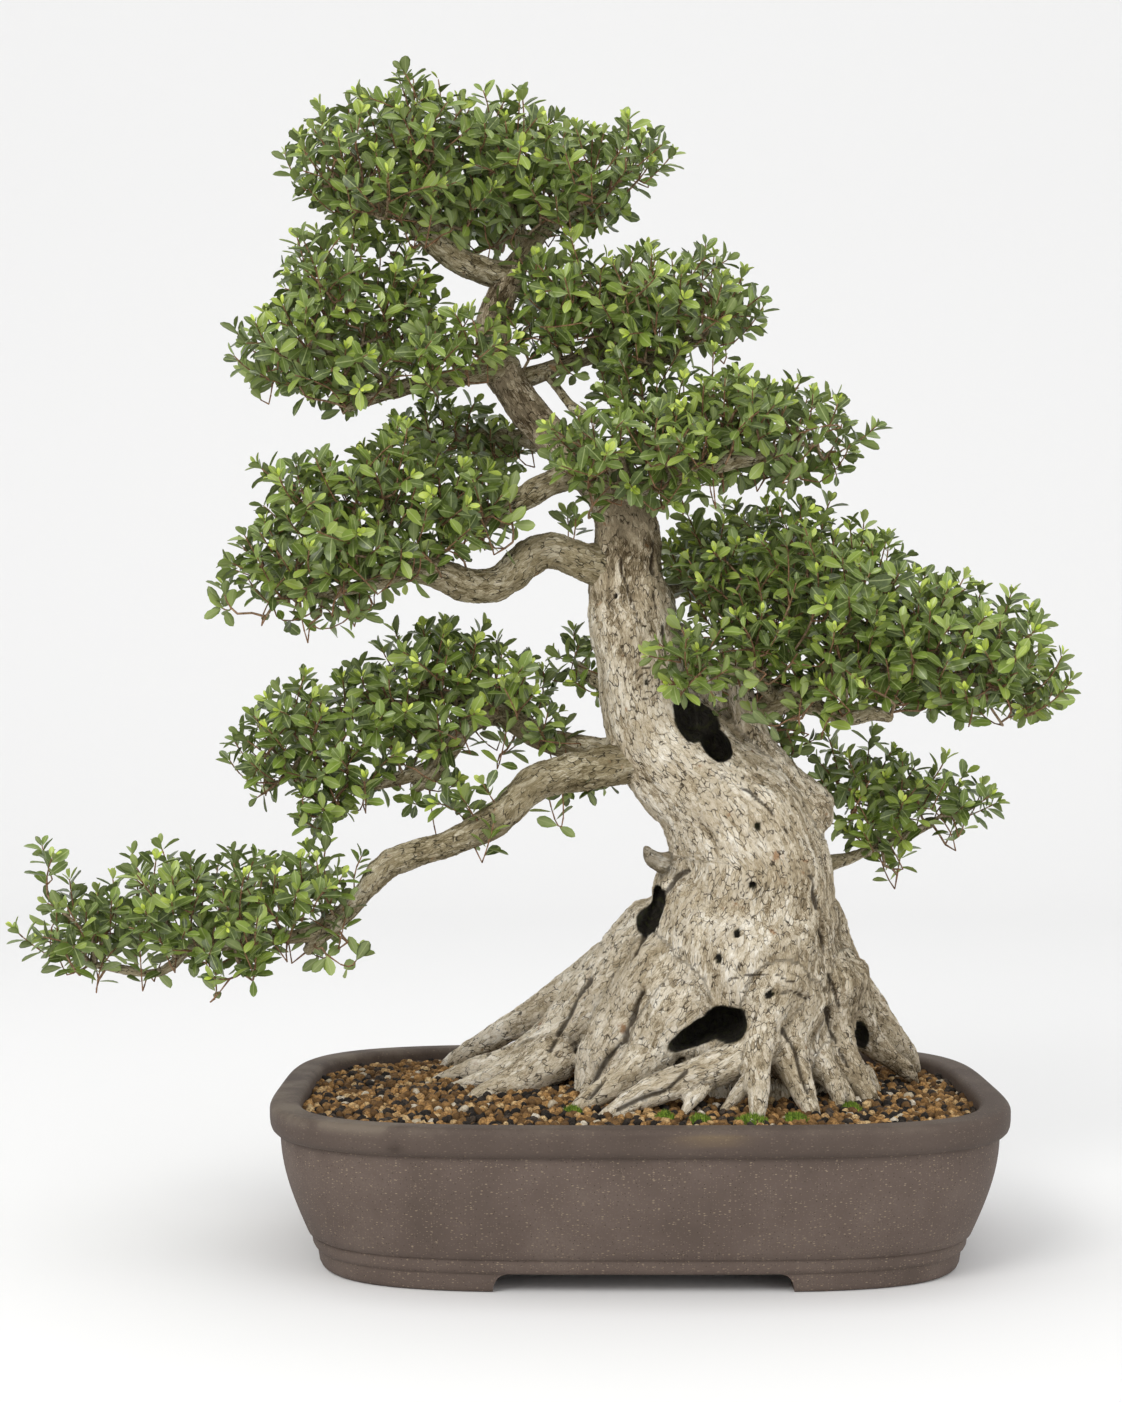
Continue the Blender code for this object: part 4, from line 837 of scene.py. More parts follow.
# %% The bark material
def bark_material(name, stops, crack_shade_code, flake_code):
    """Dry bark: flake tones from pale to dark, cracks darkened partly as painted shade, thin flake edges
    drawn dark as painted shadow, hollows blackened as painted shade over dark rotted wood, ochre patches and
    a fibrous grain.
    """
    material, tree, surface = new_material(name, Roughness=0.88, Specular_IOR_Level=0.22)
    grain = add_node(tree, "ShaderNodeAttribute", {"attribute_name": "grain"}).outputs["Vector"]
    relief = add_node(tree, "ShaderNodeAttribute", {"attribute_name": "relief"}).outputs["Vector"]
    relief = add_node(tree, "ShaderNodeSeparateXYZ", links={"Vector": relief})
    place = add_node(tree, "ShaderNodeTexCoord").outputs["Object"]
    warp = add_node(tree, "ShaderNodeTexNoise", {"Scale": 150.0, "Detail": 2.0}, {"Vector": place})
    warp = add_node(tree, "ShaderNodeVectorMath", {"operation": "MULTIPLY_ADD", 1: (5.0, 3.0, 3.0)},
                    {0: warp.outputs["Color"], 2: grain}).outputs[0]
    long_flakes = add_node(tree, "ShaderNodeMapping", {"Scale": (0.15, 0.44, 0.44)}, {"Vector": warp})
    flakes = add_node(tree, "ShaderNodeTexVoronoi", {"feature": "DISTANCE_TO_EDGE", "Scale": 1.0},
                      {"Vector": long_flakes.outputs[0]}).outputs["Distance"]
    flake_tone = add_node(tree, "ShaderNodeTexVoronoi", {"Scale": 1.0},
                          {"Vector": long_flakes.outputs[0]}).outputs["Color"]
    flake_tone = add_node(tree, "ShaderNodeSeparateColor", links={"Color": flake_tone}).outputs[0]
    fibres = add_node(tree, "ShaderNodeMapping", {"Scale": (0.35, 2.2, 2.2)}, {"Vector": warp})
    fibre = add_node(tree, "ShaderNodeTexNoise", {"Scale": 1.0, "Detail": 5.0, "Roughness": 0.65},
                     {"Vector": fibres.outputs[0]}).outputs["Fac"]
    slow = add_node(tree, "ShaderNodeTexNoise", {"Scale": 38.0, "Detail": 3.0}, {"Vector": place})
    tone = add_node(tree, "ShaderNodeMath", {"operation": "MULTIPLY_ADD", 1: 0.34},
                    {0: flake_tone, 2: span(tree, fibre, 0.3, 0.7, 0.0, 0.42)}).outputs[0]
    # The mesh's tone comes in here, with the painted light and painted shade that it carries.
    tone = add_node(tree, "ShaderNodeMath", {"operation": "MULTIPLY_ADD", 1: 0.3},
                    {0: relief.outputs["Y"], 2: tone}).outputs[0]
    body = ramp(tree, tone, stops)
    body = blended(tree, span(tree, slow.outputs["Fac"], 0.42, 0.62, 0.0, 0.5), body, linear(flake_code))
    ochre = add_node(tree, "ShaderNodeTexNoise", {"Scale": 95.0, "Detail": 4.0}, {"Vector": place})
    body = blended(tree, span(tree, ochre.outputs["Fac"], 0.66, 0.76, 0.0, 0.75), body, linear("9b7048"))
    # Painted shadow: thin dark lines along the flake edges stand for the shade under each lifted flake.
    edge = span(tree, flakes, 0.085, 0.015)
    broken = span(tree, add_node(tree, "ShaderNodeTexNoise", {"Scale": 210.0, "Detail": 3.0},
                                 {"Vector": place}).outputs["Fac"], 0.44, 0.6, 0.1, 0.9)
    fine_crack = worked(tree, "MULTIPLY", edge, broken)
    # Painted shade in the cracks, by their depth, partly the darker bark inside them.
    deep = span(tree, relief.outputs["X"], 0.35, 0.95, 0.0, 0.85)
    crack = worked(tree, "MAXIMUM", fine_crack, deep)
    body = blended(tree, crack, body, linear(crack_shade_code))
    moss = add_node(tree, "ShaderNodeTexNoise", {"Scale": 260.0, "Detail": 3.0}, {"Vector": place})
    mossy = worked(tree, "MULTIPLY", relief.outputs["Z"],
                   span(tree, moss.outputs["Fac"], 0.5, 0.62, 0.0, 0.4))
    # Painted shade: the dark share blackens the rot hollows, holes and knot pits, partly over dark rotted
    # wood, and darkens the dead stub.
    body = blended(tree, span(tree, relief.outputs["Z"], 0.2, 0.9, 0.0, 0.97), body, linear("0d0a07"))
    body = blended(tree, mossy, body, linear("3a3d1c"))
    tree.links.new(body, surface.inputs["Base Color"])
    height = add_node(tree, "ShaderNodeMath", {"operation": "MULTIPLY_ADD", 1: -0.7},
                      {0: fine_crack, 2: tone}).outputs[0]
    roughened(tree, surface, height, 0.9, 0.0009)
    return material


trunk_bark = bark_material(
    "old_flaking_trunk_bark",
    [(0.0, "4a3d2a"), (0.25, "8f7f63"), (0.52, "d8cbb2"), (0.9, "faf4e7")], "2b2015", "b7a78a")
branch_bark = bark_material(
    "grey_brown_branch_bark",
    [(0.0, "40361f"), (0.30, "73674a"), (0.58, "a79b7c"), (0.9, "d8cfb8")], "1f180e", "8b7e60")

# %% Marks on the trunk
# Painted shade: heights between which the bark darkens, and places along X between which the right flank does
SHADED_UPPER_TRUNK = (262, 330)
SHADED_RIGHT_FLANK = (-20, 60)
KNOT_RINGS = 17.0
DEEP_CRACK = 2.8
BRANCH_KNOBBLES = 2.2


def hollow_reach(points, middle, half_sizes, lean):
    """How far points are from a hollow's middle, where 1 is on its wall."""
    offset = (points - placed([middle])[0]) / MM
    turn = math.radians(lean)
    wide = offset[:, 0] * math.cos(turn) - offset[:, 2] * math.sin(turn)
    high = offset[:, 0] * math.sin(turn) + offset[:, 2] * math.cos(turn)
    return np.linalg.norm(np.stack([wide, offset[:, 1], high], axis=1) / half_sizes, axis=1)


def add_hollows(points, dark):
    """Blackens the walls of the rot hollows as painted shade, partly over the dark rotted wood, and browns
    the dead stub.
    """
    for middle, half_sizes, lean in HOLLOWS:
        # Painted shade on the hollow walls, partly the dark rotted wood.
        dark = np.maximum(dark, smoothstep(1.22, 0.95, hollow_reach(points, middle, half_sizes, lean)))
    for middle in placed([(x, y, z) for x, y, z, _ in STUB[1:]]):
        away = np.linalg.norm(points - middle, axis=1) / MM
        dark = np.maximum(dark, 0.55 * smoothstep(13, 7, away))
    return dark


def add_holes_and_knots(flat, front, height, crack, dark):
    """Small holes with a raised lip, and knots whose rings are a cosine of the distance. The holes and the
    pits in the knots' middles are darkened as painted shade.
    """
    for x, z, radius in HOLES:
        reach = np.linalg.norm(flat - (x, z), axis=1) / radius
        # Painted shade inside each hole.
        dark = np.maximum(dark, front * smoothstep(1.25, 0.8, reach))
        lip = 0.9 * np.exp(-((reach - 1.7) / 0.5) ** 2)
        height = height + front * (lip - 5.0 * smoothstep(1.2, 0.6, reach))
    for x, z, radius in KNOTS:
        reach = np.linalg.norm(flat - (x, z), axis=1) / radius
        ring = np.cos(reach * KNOT_RINGS)
        inside_knot = front * smoothstep(1.2, 0.95, reach)
        swell = 0.9 * ring + 1.6 - 4.0 * smoothstep(0.3, 0.1, reach)
        height = height * (1 - 0.7 * inside_knot) + inside_knot * swell
        # The grooves between the rings join the cracks, which are darkened partly as painted shade.
        crack = np.maximum(crack * (1 - 0.8 * inside_knot), inside_knot * smoothstep(0.2, 0.9, -ring))
        # Painted shade in the pit at the knot's middle.
        dark = np.maximum(dark, front * smoothstep(0.26, 0.12, reach))
    return height, crack, dark


def add_cracks(points, flat, front, height, crack, seed):
    """Long creases of ragged width; the shallow ones fade in and out along their route."""
    for route, half_width, depth in CRACKS:
        ragged = half_width * (0.15 + 1.3 * value_noise(points / (6 * MM), seed + 21))
        split = front * smoothstep(1.5, 0.2, route_distance(flat, route) / (ragged + 0.5))
        if depth < DEEP_CRACK:
            split = split * smoothstep(0.3, 0.5, value_noise(points / (10 * MM), seed + 22))
        height = height - depth * split
        # The crack share darkens each crease in the material: partly painted shade, partly the darker bark
        # inside.
        crack = np.maximum(crack, split)
    return height, crack


def finish_wood(name, skin, curves, material, seed, size=1.0, trunk_marks=False):
    """Press the bark relief into a skin, add the trunk's own marks if asked, and make the piece."""
    points, normals, triangles = skin_data(skin)
    height, crack, tone, grain = bark_relief(
        points, curves, seed, size, 1.0 if trunk_marks else BRANCH_KNOBBLES)
    dark = np.zeros(len(points))
    if trunk_marks:
        tree_places = points / MM - FOOT
        # Painted shade: the tone is lowered on the upper trunk and on the right flank, away from the key
        # light.
        tone -= 1.1 * smoothstep(*SHADED_UPPER_TRUNK, tree_places[:, 2])
        tone -= 0.5 * smoothstep(*SHADED_RIGHT_FLANK, tree_places[:, 0])
        shake = 3 * value_noise(points / (11 * MM), seed + 30)[:, None] - 1.5
        flat = tree_places[:, [0, 2]] + shake
        front = smoothstep(0.1, -0.35, normals[:, 1])
        dark = add_hollows(points, dark)
        height, crack, dark = add_holes_and_knots(flat, front, height, crack, dark)
        height, crack = add_cracks(points, flat, front, height, crack, seed)
    points = points + normals * (height * HALF_RELIEF * MM)[:, None]
    points = np.clip(points, box_low, box_high)
    # The relief attribute carries the crack share, the tone and the dark share, which hold painted light and
    # painted shade.
    return put_mesh(name, points, [triangles], material,
                    {"grain": grain, "relief": np.stack([crack, tone, dark], axis=1)})


# %% Make the trunk
TRUNK_VOXEL = 1.85
TRUNK_FLUTING = 0.16
TRUNK_SEED = 3
trunk_curves = [smooth_route(route) for route in [TRUNK, *STRANDS, *ROOTS, STUB]]
hollow_shapes = [ellipsoid(*hollow) for hollow in HOLLOWS]
trunk_skin = fused_wood(trunk_curves, TRUNK_VOXEL * MM, hollow_shapes, TRUNK_SEED, TRUNK_FLUTING)
trunk = finish_wood("trunk_and_roots", trunk_skin, trunk_curves, trunk_bark, TRUNK_SEED,
                    trunk_marks=True)
place_piece(trunk, "trunk", "trunk")

# %% Make the branches
BRANCH_VOXEL = 1.1
BRANCH_FLUTING = 0.22
BRANCH_FLAKES = 0.8
limb_curves = {}
for seed, (name, routes) in enumerate(BRANCHES.items(), 40):
    limb_curves[name] = [smooth_route(route) for route in routes]
    skin = fused_wood(limb_curves[name], BRANCH_VOXEL * MM, [], seed, BRANCH_FLUTING)
    limb = finish_wood(name + "_wood", skin, limb_curves[name], branch_bark, seed, BRANCH_FLAKES)
    place_piece(limb, "branch", name)

# %% [markdown]
# ## Leaves and twigs
#
# Each pad of foliage is built as it grows. Shoots end at scattered places inside the pad, mostly
# near its skin, and lean outwards and up to the light. A twig network joins them to their limb,
# thicker where it carries more shoots. Leaves sit on each shoot in opposite pairs, each pair a
# quarter turn from the one below, with small lime-green new leaves at some of the tips.

# %% Where shoots end
SHOOT_SPACING = 15.0
SHOOT_LENGTH = 27.0
SKIN_DEPTH = 3.0      # how far inside a pad's skin the outermost shoots end
KEEP_DEPTH = 11.0     # the depth below that at which a third of the shoots are kept
MOST_SHOOTS = 4000
EDGE_MARGIN = 5.0     # shoots end at least this far inside the whole box
LIMB_REACH = 22       # how far round a pad its limbs give it twigs
PAD_LIMBS = {
    "foliage_crown": ["crown_limb", "crown_leader"],
    "foliage_upper_left": ["branch_upper_left"],
    "foliage_upper_front": ["branch_upper_left"],
    "foliage_upper_right": ["branch_upper_right"],
    "foliage_right_middle": ["branch_right_middle"],
    "foliage_back_left": ["branch_back_left"],
    "foliage_middle_left": ["branch_middle_left", "branch_above_middle_left"],
    "foliage_big_right": ["branch_big_right"],
    "foliage_back_right": ["branch_back_right"],
    "foliage_lower_left": ["branch_lower_left"],
    "foliage_lowest_left": ["branch_lowest_left"],
    "foliage_low_right": ["branch_low_right", "branch_low_right_under"],
    "foliage_behind_trunk": ["branch_behind_left"],
    "tuft_middle_left": ["branch_middle_left"],
    "tuft_under_lowest_branch": ["branch_lowest_left"],
    "tuft_over_lowest_branch": ["branch_lowest_left"],
    "tuft_low_right": ["branch_big_right"],
}
trunk_points, trunk_triangles = mesh_arrays(trunk.data)
trunk_tree = BVHTree.FromPolygons(trunk_points.tolist(), trunk_triangles.tolist())


def scattered_shoots(node, seed):
    """Shoot ends inside a pad, no two nearer than the spacing, with the way out from each."""
    points, triangles = node_arrays(node)
    pad = BVHTree.FromPolygons(points.tolist(), triangles.tolist())
    draw = np.random.default_rng(seed)
    low, high = points.min(0), points.max(0)
    spacing = SHOOT_SPACING * MM
    tries = draw.uniform(low, high, (int(np.prod(high - low) / spacing ** 3 * 26), 3))
    chances = draw.random(len(tries))
    tips, outs = np.empty((MOST_SHOOTS, 3)), []
    count = 0
    for place, chance in zip(tries, chances):
        near, normal, _, distance = pad.find_nearest(place.tolist())
        if (near - Vector(place)).dot(normal) < 0 or distance < SKIN_DEPTH * MM:
            continue
        keep = math.exp(-(distance / MM - SKIN_DEPTH) / KEEP_DEPTH) + 0.04
        keep *= 0.22 if normal.z < -0.4 else 1.0
        if chance > keep:
            continue
        if count and np.min(((tips[:count] - place) ** 2).sum(1)) < spacing ** 2:
            continue
        tips[count] = place
        outs.append(tuple(normal))
        count += 1
    return tips[:count].copy(), np.array(outs)


# %% Shoots, twigs and leaves of one pad
STEM_STEPS = 4
TWIG_STEP = 8.0
TWIG_SIDES = 5
THINNEST = 0.52
THICKENING = 0.44
SHOOT_TIP = 0.36


def shoot_stems(tips, outs, roots, draw):
    """Each shoot as a bent stem of five points that ends at its tip, leaning out and up."""
    nearest = roots[((tips[:, None] - roots[None]) ** 2).sum(2).argmin(1)]
    away = unit(tips - nearest + 1e-6)
    end_way = unit(outs * (0.9, 0.9, 0.55) + (0, 0, 0.60) + draw.normal(0, 0.34, (len(tips), 3)))
    leader = np.where(draw.random((len(tips), 1)) < 0.34, draw.uniform(5, 13, (len(tips), 1)), 0.0)
    tips = np.clip(tips + end_way * leader * MM, box_low + EDGE_MARGIN * MM, box_high - EDGE_MARGIN * MM)
    start_way = unit(0.45 * end_way + 0.75 * away)
    length = SHOOT_LENGTH * MM * draw.uniform(0.75, 1.2, (len(tips), 1))
    share = np.linspace(0, 1, STEM_STEPS + 1)[None, :, None]
    base = tips - length * unit(end_way + start_way)
    bend = base + 0.5 * length * start_way
    stems = ((1 - share) ** 2 * base[:, None] + 2 * share * (1 - share) * bend[:, None]
             + share ** 2 * tips[:, None])
    return stems, end_way


def twig_network(roots, root_radii, stems, draw):
    """Joins stems to the limb one by one, by the shortest way that also keeps the path back short."""
    room = 40 * len(stems) + len(roots)
    places = np.empty((room, 3))
    travelled = np.zeros(room)
    parent = np.full(room, -1)
    thickest = np.full(room, 9.0)
    count = len(roots)
    places[:count] = roots
    thickest[:count] = root_radii / MM
    order = ((stems[:, 0][:, None] - roots[None]) ** 2).sum(2).min(1).argsort()
    for shoot in order:
        base = stems[shoot, 0]
        distance = np.linalg.norm(places[:count] - base, axis=1)
        link = int((distance + 0.35 * travelled[:count]).argmin())
        gap = distance[link]
        steps = max(1, round(gap / (TWIG_STEP * MM)))
        share = (np.arange(1, steps + 1) / steps)[:, None]
        wander = draw.normal(0, 0.05, 3) * gap + (0, 0, -0.03 * gap)
        path = places[link] + (base - places[link]) * share + wander * np.sin(np.pi * share)
        path = np.concatenate([path, stems[shoot, 1:]])
        for place in path:
            places[count] = place
            parent[count] = link
            travelled[count] = travelled[link] + np.linalg.norm(place - places[link])
            link = count
            count += 1
    load = np.zeros(count)
    ends = np.setdiff1d(np.arange(len(roots), count), parent[:count])
    load[ends] = 1
    for place in range(count - 1, len(roots) - 1, -1):
        load[parent[place]] += load[place]
    return places[:count], parent[:count], load, len(roots)


def twig_tubes(places, parent, load, first):
    """Five-sided closed tubes along every link, as thick as the shoots that they carry need."""
    child = np.arange(first, len(places))
    start, stop = places[parent[child]], places[child]
    radius = THINNEST * MM * load ** THICKENING
    stop_radius = radius[child]
    start_radius = np.minimum(np.where(parent[child] < first, stop_radius * 1.5, radius[parent[child]]),
                              stop_radius * 1.35)
    stop_radius = np.where(load[child] <= 1, np.minimum(stop_radius, SHOOT_TIP * MM), stop_radius)
    along = unit(stop - start)
    helper = np.where(np.abs(along[:, 2:3]) < 0.9, (0.0, 0.0, 1.0), (1.0, 0.0, 0.0))
    across = unit(np.cross(along, helper))
    side = np.cross(along, across)
    angle = np.linspace(0, 2 * np.pi, TWIG_SIDES, endpoint=False)
    out = across[:, None] * np.cos(angle)[None, :, None] + side[:, None] * np.sin(angle)[None, :, None]
    low = start[:, None] + out * start_radius[:, None, None]
    high = stop[:, None] + out * stop_radius[:, None, None]
    ends = np.stack([start - along * start_radius[:, None] * 0.5,
                     stop + along * stop_radius[:, None] * 0.8], axis=1)
    points = np.concatenate([low, high, ends], axis=1)
    ring = np.arange(TWIG_SIDES)
    turned = (ring + 1) % TWIG_SIDES
    quads = np.stack([ring, turned, turned + TWIG_SIDES, ring + TWIG_SIDES], axis=1)
    fans = np.concatenate([
        np.stack([turned, ring, np.full(TWIG_SIDES, 2 * TWIG_SIDES)], axis=1),
        np.stack([ring + TWIG_SIDES, turned + TWIG_SIDES, np.full(TWIG_SIDES, 2 * TWIG_SIDES + 1)], axis=1)])
    base = (np.arange(len(child)) * points.shape[1])[:, None, None]
    thick = np.repeat(stop_radius / MM, points.shape[1])
    return points.reshape(-1, 3), [(base + quads).reshape(-1, 4), (base + fans).reshape(-1, 3)], thick


# %% [markdown]
# ### One leaf
#
# The leaf is a long oval, widest past its middle, folded a little along the midrib and bent down
# at the tip. It is a closed blade a third of a millimetre thick: four rows of a diamond section.

# %% Leaves as copies of one blade
ROW_ALONG = np.array([0.13, 0.40, 0.68, 0.90])
ROW_WIDE = np.array([0.34, 0.86, 1.00, 0.60])
BLADE_FOLD = 0.30
BLADE_THICK = 0.32
LEAF_LENGTH = 13.4
# Leaf pairs up a shoot: share of the stem, spread in degrees, size, how new, chance that it grew
PAIRS = [(0.24, 70, 0.92, 0.0, 0.62), (0.46, 66, 1.0, 0.0, 0.86), (0.66, 62, 1.0, 0.05, 0.95),
         (0.83, 52, 0.92, 0.15, 1.0), (0.96, 38, 0.62, 0.45, 1.0), (1.0, 20, 0.42, 1.0, 1.0)]
blade = [(0.0, 0.0, 0.0, 0.0)]
for along_share, wide_share in zip(ROW_ALONG, ROW_WIDE):
    blade += [(along_share, -wide_share, 1.0, 0.0), (along_share, 0.0, 0.0, 1.0),
              (along_share, wide_share, 1.0, 0.0), (along_share, 0.0, 0.0, -1.0)]
blade = np.array(blade + [(1.0, 0.0, 0.0, 0.0)])
blade_triangles = [(0, 1 + k, 1 + (k + 1) % 4) for k in range(4)]
blade_triangles += [(17, 13 + (k + 1) % 4, 13 + k) for k in range(4)]
blade_quads = [(1 + 4 * row + k, 5 + 4 * row + k, 5 + 4 * row + (k + 1) % 4, 1 + 4 * row + (k + 1) % 4)
               for row in range(3) for k in range(4)]
blade_triangles = np.array(blade_triangles)
blade_quads = np.array(blade_quads)


def leaf_blades(bases, ways, normals, lengths, widths, curls):
    """Every blade at once: base + way * along + side * across + normal * (fold, bend and thickness)."""
    sides = np.cross(ways, normals)
    along, across, fold, thick = blade.T
    up = (fold[None] * BLADE_FOLD * widths[:, None] / 2 * np.abs(across)[None]
          - curls[:, None] * lengths[:, None] * along[None] ** 2
          + np.where(thick > 0, 0.25, 1.0)[None] * thick[None] * BLADE_THICK * MM)
    points = (bases[:, None] + ways[:, None] * (along[None] * lengths[:, None])[..., None]
              + sides[:, None] * (across[None] * widths[:, None] / 2)[..., None]
              + normals[:, None] * up[..., None])
    return points


def shoot_leaves(stems, end_ways, outs, draw):
    """Opposite pairs up each stem, each pair a quarter turn on, closing in towards the tip."""
    found = []
    count = len(stems)
    turn = draw.uniform(0, np.pi, count)
    fresh = draw.random(count) < np.where(outs[:, 2] > 0.1, 0.62, 0.34)
    helper = np.where(np.abs(end_ways[:, 2:3]) < 0.85, (0.0, 0.0, 1.0), (1.0, 0.0, 0.0))
    across = unit(np.cross(end_ways, helper))
    side = np.cross(end_ways, across)
    for level, (share, spread, size, age, chance) in enumerate(PAIRS):
        at_tip = level == len(PAIRS) - 1
        here = share * STEM_STEPS
        cell = min(int(here), STEM_STEPS - 1)
        place = stems[:, cell] + (stems[:, cell + 1] - stems[:, cell]) * (here - cell)
        way = unit(stems[:, cell + 1] - stems[:, cell])
        for half in (0, 1):
            roll = turn + level * np.pi / 2 + half * np.pi + draw.normal(0, 0.22, count)
            out = across * np.cos(roll)[:, None] + side * np.sin(roll)[:, None]
            out = unit(out - way * (out * way).sum(1, keepdims=True))
            angle = np.radians(spread + draw.normal(0, 9, count))[:, None]
            leaf_way = unit(way * np.cos(angle) + out * np.sin(angle) + (0, 0, 0.10))
            normal = unit(way - leaf_way * (way * leaf_way).sum(1, keepdims=True))
            twist = draw.normal(0, 0.30, count)[:, None]
            normal = unit(normal * np.cos(twist) + np.cross(leaf_way, normal) * np.sin(twist))
            length = LEAF_LENGTH * MM * size * draw.uniform(0.82, 1.14, count)
            width = length * draw.uniform(0.43, 0.54, count) * (0.82 if at_tip else 1.0)
            leaf_age = np.where(fresh, age, age * 0.30) + draw.normal(0, 0.04, count)
            keep = draw.random(count) < chance
            if at_tip:
                keep &= fresh
            found.append([column[keep] for column in (
                place + leaf_way * 0.7 * MM, leaf_way, normal, length, width,
                draw.uniform(0.02, 0.24, count), np.clip(leaf_age, 0, 1), draw.random(count))])
    return [np.concatenate(columns) for columns in zip(*found)]


# %% The leaf and twig materials
def leaf_material():
    """A thick glossy evergreen leaf: deep green with a paler midrib, duller below, lime while it is new."""
    material, tree, surface = new_material("glossy_evergreen_leaf", Roughness=0.34, Specular_IOR_Level=0.5)
    leaf = add_node(tree, "ShaderNodeAttribute", {"attribute_name": "leaf"}).outputs["Vector"]
    leaf = add_node(tree, "ShaderNodeSeparateXYZ", links={"Vector": leaf})
    spot = add_node(tree, "ShaderNodeAttribute", {"attribute_name": "blade"}).outputs["Vector"]
    spot = add_node(tree, "ShaderNodeSeparateXYZ", links={"Vector": spot})
    green = ramp(tree, leaf.outputs["Y"],
                 [(0.0, "36441a"), (0.4, "566829"), (0.75, "748a36"), (1.0, "97a94c")])
    young = ramp(tree, leaf.outputs["Y"], [(0.0, "a9bf3c"), (1.0, "d2e062")])
    body = blended(tree, span(tree, leaf.outputs["X"], 0.12, 0.85), green, young)
    place = add_node(tree, "ShaderNodeTexCoord").outputs["Object"]
    mottle = add_node(tree, "ShaderNodeTexNoise", {"Scale": 420.0, "Detail": 2.0}, {"Vector": place})
    body = blended(tree, span(tree, mottle.outputs["Fac"], 0.4, 0.7, 0.0, 0.25), body, linear("8a9c55"))
    middle = add_node(tree, "ShaderNodeMath", {"operation": "ABSOLUTE"}, {0: spot.outputs["Y"]}).outputs[0]
    body = blended(tree, span(tree, middle, 0.13, 0.03, 0.0, 0.5), body, linear("b4bf83"))
    below = span(tree, spot.outputs["Z"], 0.0, -0.5, 0.0, 0.55)
    body = blended(tree, below, body, linear("939f68"))
    tree.links.new(body, surface.inputs["Base Color"])
    rough = span(tree, spot.outputs["Z"], 0.0, -0.5, 0.33, 0.6)
    tree.links.new(rough, surface.inputs["Roughness"])
    roughened(tree, surface, mottle.outputs["Fac"], 0.25, 0.0003)
    return material


def twig_material():
    """Twig bark: red-brown while thin, grey-brown with pale flecks once it is thick."""
    material, tree, surface = new_material("young_twig_bark", Roughness=0.72, Specular_IOR_Level=0.3)
    thick = add_node(tree, "ShaderNodeAttribute", {"attribute_name": "thick"}).outputs["Fac"]
    place = add_node(tree, "ShaderNodeTexCoord").outputs["Object"]
    speckle = add_node(tree, "ShaderNodeTexNoise", {"Scale": 600.0, "Detail": 4.0}, {"Vector": place})
    old = ramp(tree, speckle.outputs["Fac"], [(0.3, "5c4c36"), (0.5, "8b7c62"), (0.7, "b3a68d")])
    new = ramp(tree, speckle.outputs["Fac"], [(0.3, "5b3f2a"), (0.55, "86654a"), (0.75, "a3845f")])
    body = blended(tree, span(tree, thick, 0.5, 1.1), new, old)
    tree.links.new(body, surface.inputs["Base Color"])
    roughened(tree, surface, speckle.outputs["Fac"], 0.6, 0.0005)
    return material


leaf_green = leaf_material()
twig_bark = twig_material()


# %% Grow every pad
FIRST_PAD_SEED = 500


def crisp_outline(mesh):
    """Marks the blade's outline as sharp, so that its top and its underside are shaded apart."""
    ends = np.empty(len(mesh.edges) * 2, np.int64)
    mesh.edges.foreach_get("vertices", ends)
    label = ends.reshape(-1, 2) % len(blade)
    kind = np.where((label == 0) | (label == len(blade) - 1), -1, (label - 1) % 4)
    left = np.isin(kind, (-1, 0)).all(1)
    right = np.isin(kind, (-1, 2)).all(1)
    sharp = mesh.attributes.new("sharp_edge", "BOOLEAN", "EDGE")
    sharp.data.foreach_set("value", left | right)


def grow_pad(node, limbs, seed):
    """The leaves and the twigs of one pad, which together stand for its plain CAD solid."""
    draw = np.random.default_rng(seed)
    tips, outs = scattered_shoots(node, seed)
    margin = EDGE_MARGIN * MM
    tips = np.clip(tips, box_low + margin, box_high - margin)
    curve = np.concatenate([part for limb in limbs for part in limb_curves[limb]])
    low, high = (np.array(corner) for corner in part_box(node))
    reach = LIMB_REACH * MM
    near = ((curve[:, :3] > low - reach) & (curve[:, :3] < high + reach)).all(1)
    if not near.any():
        near = np.zeros(len(curve), bool)
        near[((curve[:, :3] - (low + high) / 2) ** 2).sum(1).argsort()[:4]] = True
    roots, radii = curve[near, :3], curve[near, 3]
    stems, end_ways = shoot_stems(tips, outs, roots, draw)
    points, blocks, thick = twig_tubes(*twig_network(roots, radii, stems, draw))
    points = np.clip(points, box_low, box_high)
    twigs = put_mesh(node + "_twigs", points, blocks, twig_bark, {"thick": thick})
    place_piece(twigs, "foliage")
    bases, ways, normals, lengths, widths, curls, ages, tones = shoot_leaves(stems, end_ways, outs, draw)
    points = leaf_blades(bases, ways, normals, lengths, widths, curls)
    inside = ((points > box_low) & (points < box_high)).all(axis=(1, 2))
    points = points[inside]
    base = (np.arange(len(points)) * len(blade))[:, None, None]
    blocks = [(base + blade_triangles).reshape(-1, 3), (base + blade_quads).reshape(-1, 4)]
    leaf = np.stack([ages[inside], tones[inside], tones[inside] * 0], axis=1)
    spot = np.broadcast_to(blade[None, :, [0, 1, 3]], (len(points), len(blade), 3))
    leaves = put_mesh(node + "_leaves", points.reshape(-1, 3), blocks, leaf_green,
                      {"leaf": np.repeat(leaf, len(blade), axis=0), "blade": spot.reshape(-1, 3)})
    crisp_outline(leaves.data)
    place_piece(leaves, "foliage", node)
    return len(stems), len(points)


grown = [grow_pad(node, limbs, seed)
         for seed, (node, limbs) in enumerate(PAD_LIMBS.items(), FIRST_PAD_SEED)]
print("shoots:", sum(shoots for shoots, _ in grown), "leaves:", sum(leaves for _, leaves in grown))

